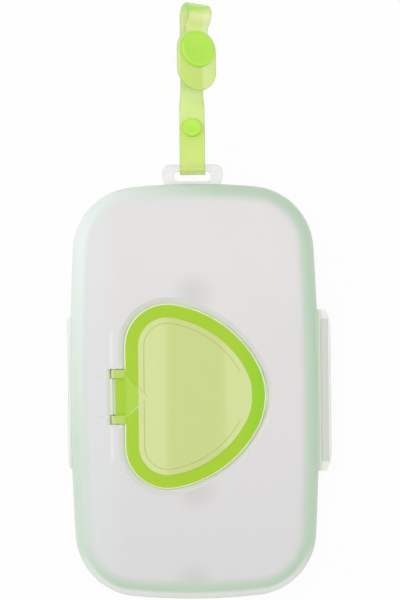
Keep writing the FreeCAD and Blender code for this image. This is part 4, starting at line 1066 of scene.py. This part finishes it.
def area_light(name, place, turn_degrees, size, power):
    """Soft rectangular lamp that the camera doesn't see."""
    lamp = bpy.data.lights.new(name, "AREA")
    lamp.shape = "RECTANGLE"
    lamp.size, lamp.size_y = size
    lamp.energy = power
    holder = bpy.data.objects.new(name, lamp)
    holder.location = place
    holder.rotation_euler = Euler([math.radians(turn) for turn in turn_degrees])
    holder.visible_camera = False
    bpy.context.scene.collection.objects.link(holder)


def background_share(tree):
    """One where a ray comes from the camera, a reflection or through a clear piece, and zero elsewhere."""
    path = add_node(tree, "ShaderNodeLightPath").outputs
    seen = add_node(tree, MATH, {0: path["Is Camera Ray"], 1: path["Is Glossy Ray"]}, operation="MAXIMUM")
    return add_node(tree, MATH, {0: seen, 1: path["Is Transmission Ray"]}, operation="MAXIMUM")


class DISPENSER_OT_stage(bpy.types.Operator):
    """Set up the white floor, the soft lights and the camera over the case"""

    bl_idname = "dispenser.stage"
    bl_label = "Studio"

    def execute(self, context):
        scene = context.scene
        scene.view_settings.view_transform = "Standard"
        world = bpy.data.worlds.new("studio")
        world.use_nodes = True
        tree = world.node_tree
        tree.nodes.clear()
        share = add_node(tree, "ShaderNodeLightPath").outputs["Is Camera Ray"]
        strength = add_node(tree, RAMP, {"Value": share, "To Min": WORLD_LIGHT, "To Max": 1.0})
        sky = add_node(tree, "ShaderNodeBackground", {"Color": (1, 1, 1, 1), "Strength": strength})
        add_node(tree, "ShaderNodeOutputWorld", {"Surface": sky})
        scene.world = world

        mesh = bpy.data.meshes.new("floor")
        corners = [(FLOOR_HALF * x, FLOOR_HALF * y, 0) for x, y in ((-1, -1), (1, -1), (1, 1), (-1, 1))]
        mesh.from_pydata(corners, [], [(0, 1, 2, 3)])
        material = bpy.data.materials.new("white_paper")
        material.use_nodes = True
        tree = material.node_tree
        tree.nodes.clear()
        share = background_share(tree)
        lit = add_node(tree, "ShaderNodeBsdfDiffuse", {"Color": opaque(linear("F8F8F8"))})
        white = add_node(tree, "ShaderNodeEmission", {"Color": (1, 1, 1, 1), "Strength": 1.0})
        factor = add_node(tree, MATH, {0: share, 1: PAPER_WHITE_SHARE}, operation="MULTIPLY")
        paper = add_node(tree, "ShaderNodeMixShader", {0: factor, 1: lit, 2: white})
        add_node(tree, "ShaderNodeOutputMaterial", {"Surface": paper})
        new_piece("floor", mesh, [material])

        area_light("left_strip", (-0.202, 0.2, 1.3), (0, -8, 0), (0.25, 1.2), 2.7)
        area_light("right_strip", (0.199, 0.2, 1.3), (0, 8, 0), (0.25, 1.2), 2.7)
        area_light("left_softbox", (-1.3, 0.4, 0.9), (0, -55, 0), (0.7, 1.2), 7.5)
        area_light("right_softbox", (1.3, 0.2, 0.9), (0, 55, 0), (0.7, 1.2), 4.5)
        area_light("near_softbox", (0, -1.3, 0.9), (55, 0, 0), (1.2, 0.7), 1.5)

        camera = bpy.data.cameras.new("camera")
        camera.lens = 150
        camera.sensor_width = 36
        distance = PICTURE_HEIGHT * camera.lens / camera.sensor_width
        holder = bpy.data.objects.new("camera", camera)
        holder.location = (*PICTURE_MIDDLE, CASE_LOW.z + distance)
        holder.rotation_euler = (0, 0, PICTURE_TURN)
        scene.collection.objects.link(holder)
        scene.camera = holder
        return {"FINISHED"}


STEPS = (
    DISPENSER_OT_shells,
    DISPENSER_OT_seals,
    DISPENSER_OT_webs,
    DISPENSER_OT_tab,
    DISPENSER_OT_lid,
    DISPENSER_OT_strap,
    DISPENSER_OT_snaps,
    DISPENSER_OT_stage,
)


class DISPENSER_PT_panel(bpy.types.Panel):
    """Sidebar panel with the colours, sizes and steps of the dispenser"""

    bl_label = "Wipe Dispenser"
    bl_idname = "DISPENSER_PT_panel"
    bl_space_type = "VIEW_3D"
    bl_region_type = "UI"
    bl_category = "Wipe Dispenser"

    def draw(self, context):
        for group in (context.scene.dispenser_colours, context.scene.dispenser_sizes):
            box = self.layout.box()
            for name in group.__annotations__:
                box.prop(group, name)
        for step in STEPS:
            self.layout.operator(step.bl_idname)


CLASSES = (DispenserColours, DispenserSizes, *STEPS, DISPENSER_PT_panel)


def register():
    for item in CLASSES:
        bpy.utils.register_class(item)
    bpy.types.Scene.dispenser_colours = PointerProperty(type=DispenserColours)
    bpy.types.Scene.dispenser_sizes = PointerProperty(type=DispenserSizes)


def unregister():
    del bpy.types.Scene.dispenser_sizes
    del bpy.types.Scene.dispenser_colours
    for item in reversed(CLASSES):
        bpy.utils.unregister_class(item)


def main():
    """Register the add-on and make every piece."""
    register()
    bpy.ops.dispenser.shells()
    bpy.ops.dispenser.seals()
    bpy.ops.dispenser.webs()
    bpy.ops.dispenser.tab()
    bpy.ops.dispenser.lid()
    bpy.ops.dispenser.strap()
    bpy.ops.dispenser.snaps()
    bpy.ops.dispenser.stage()


if __name__ == "__main__":
    main()
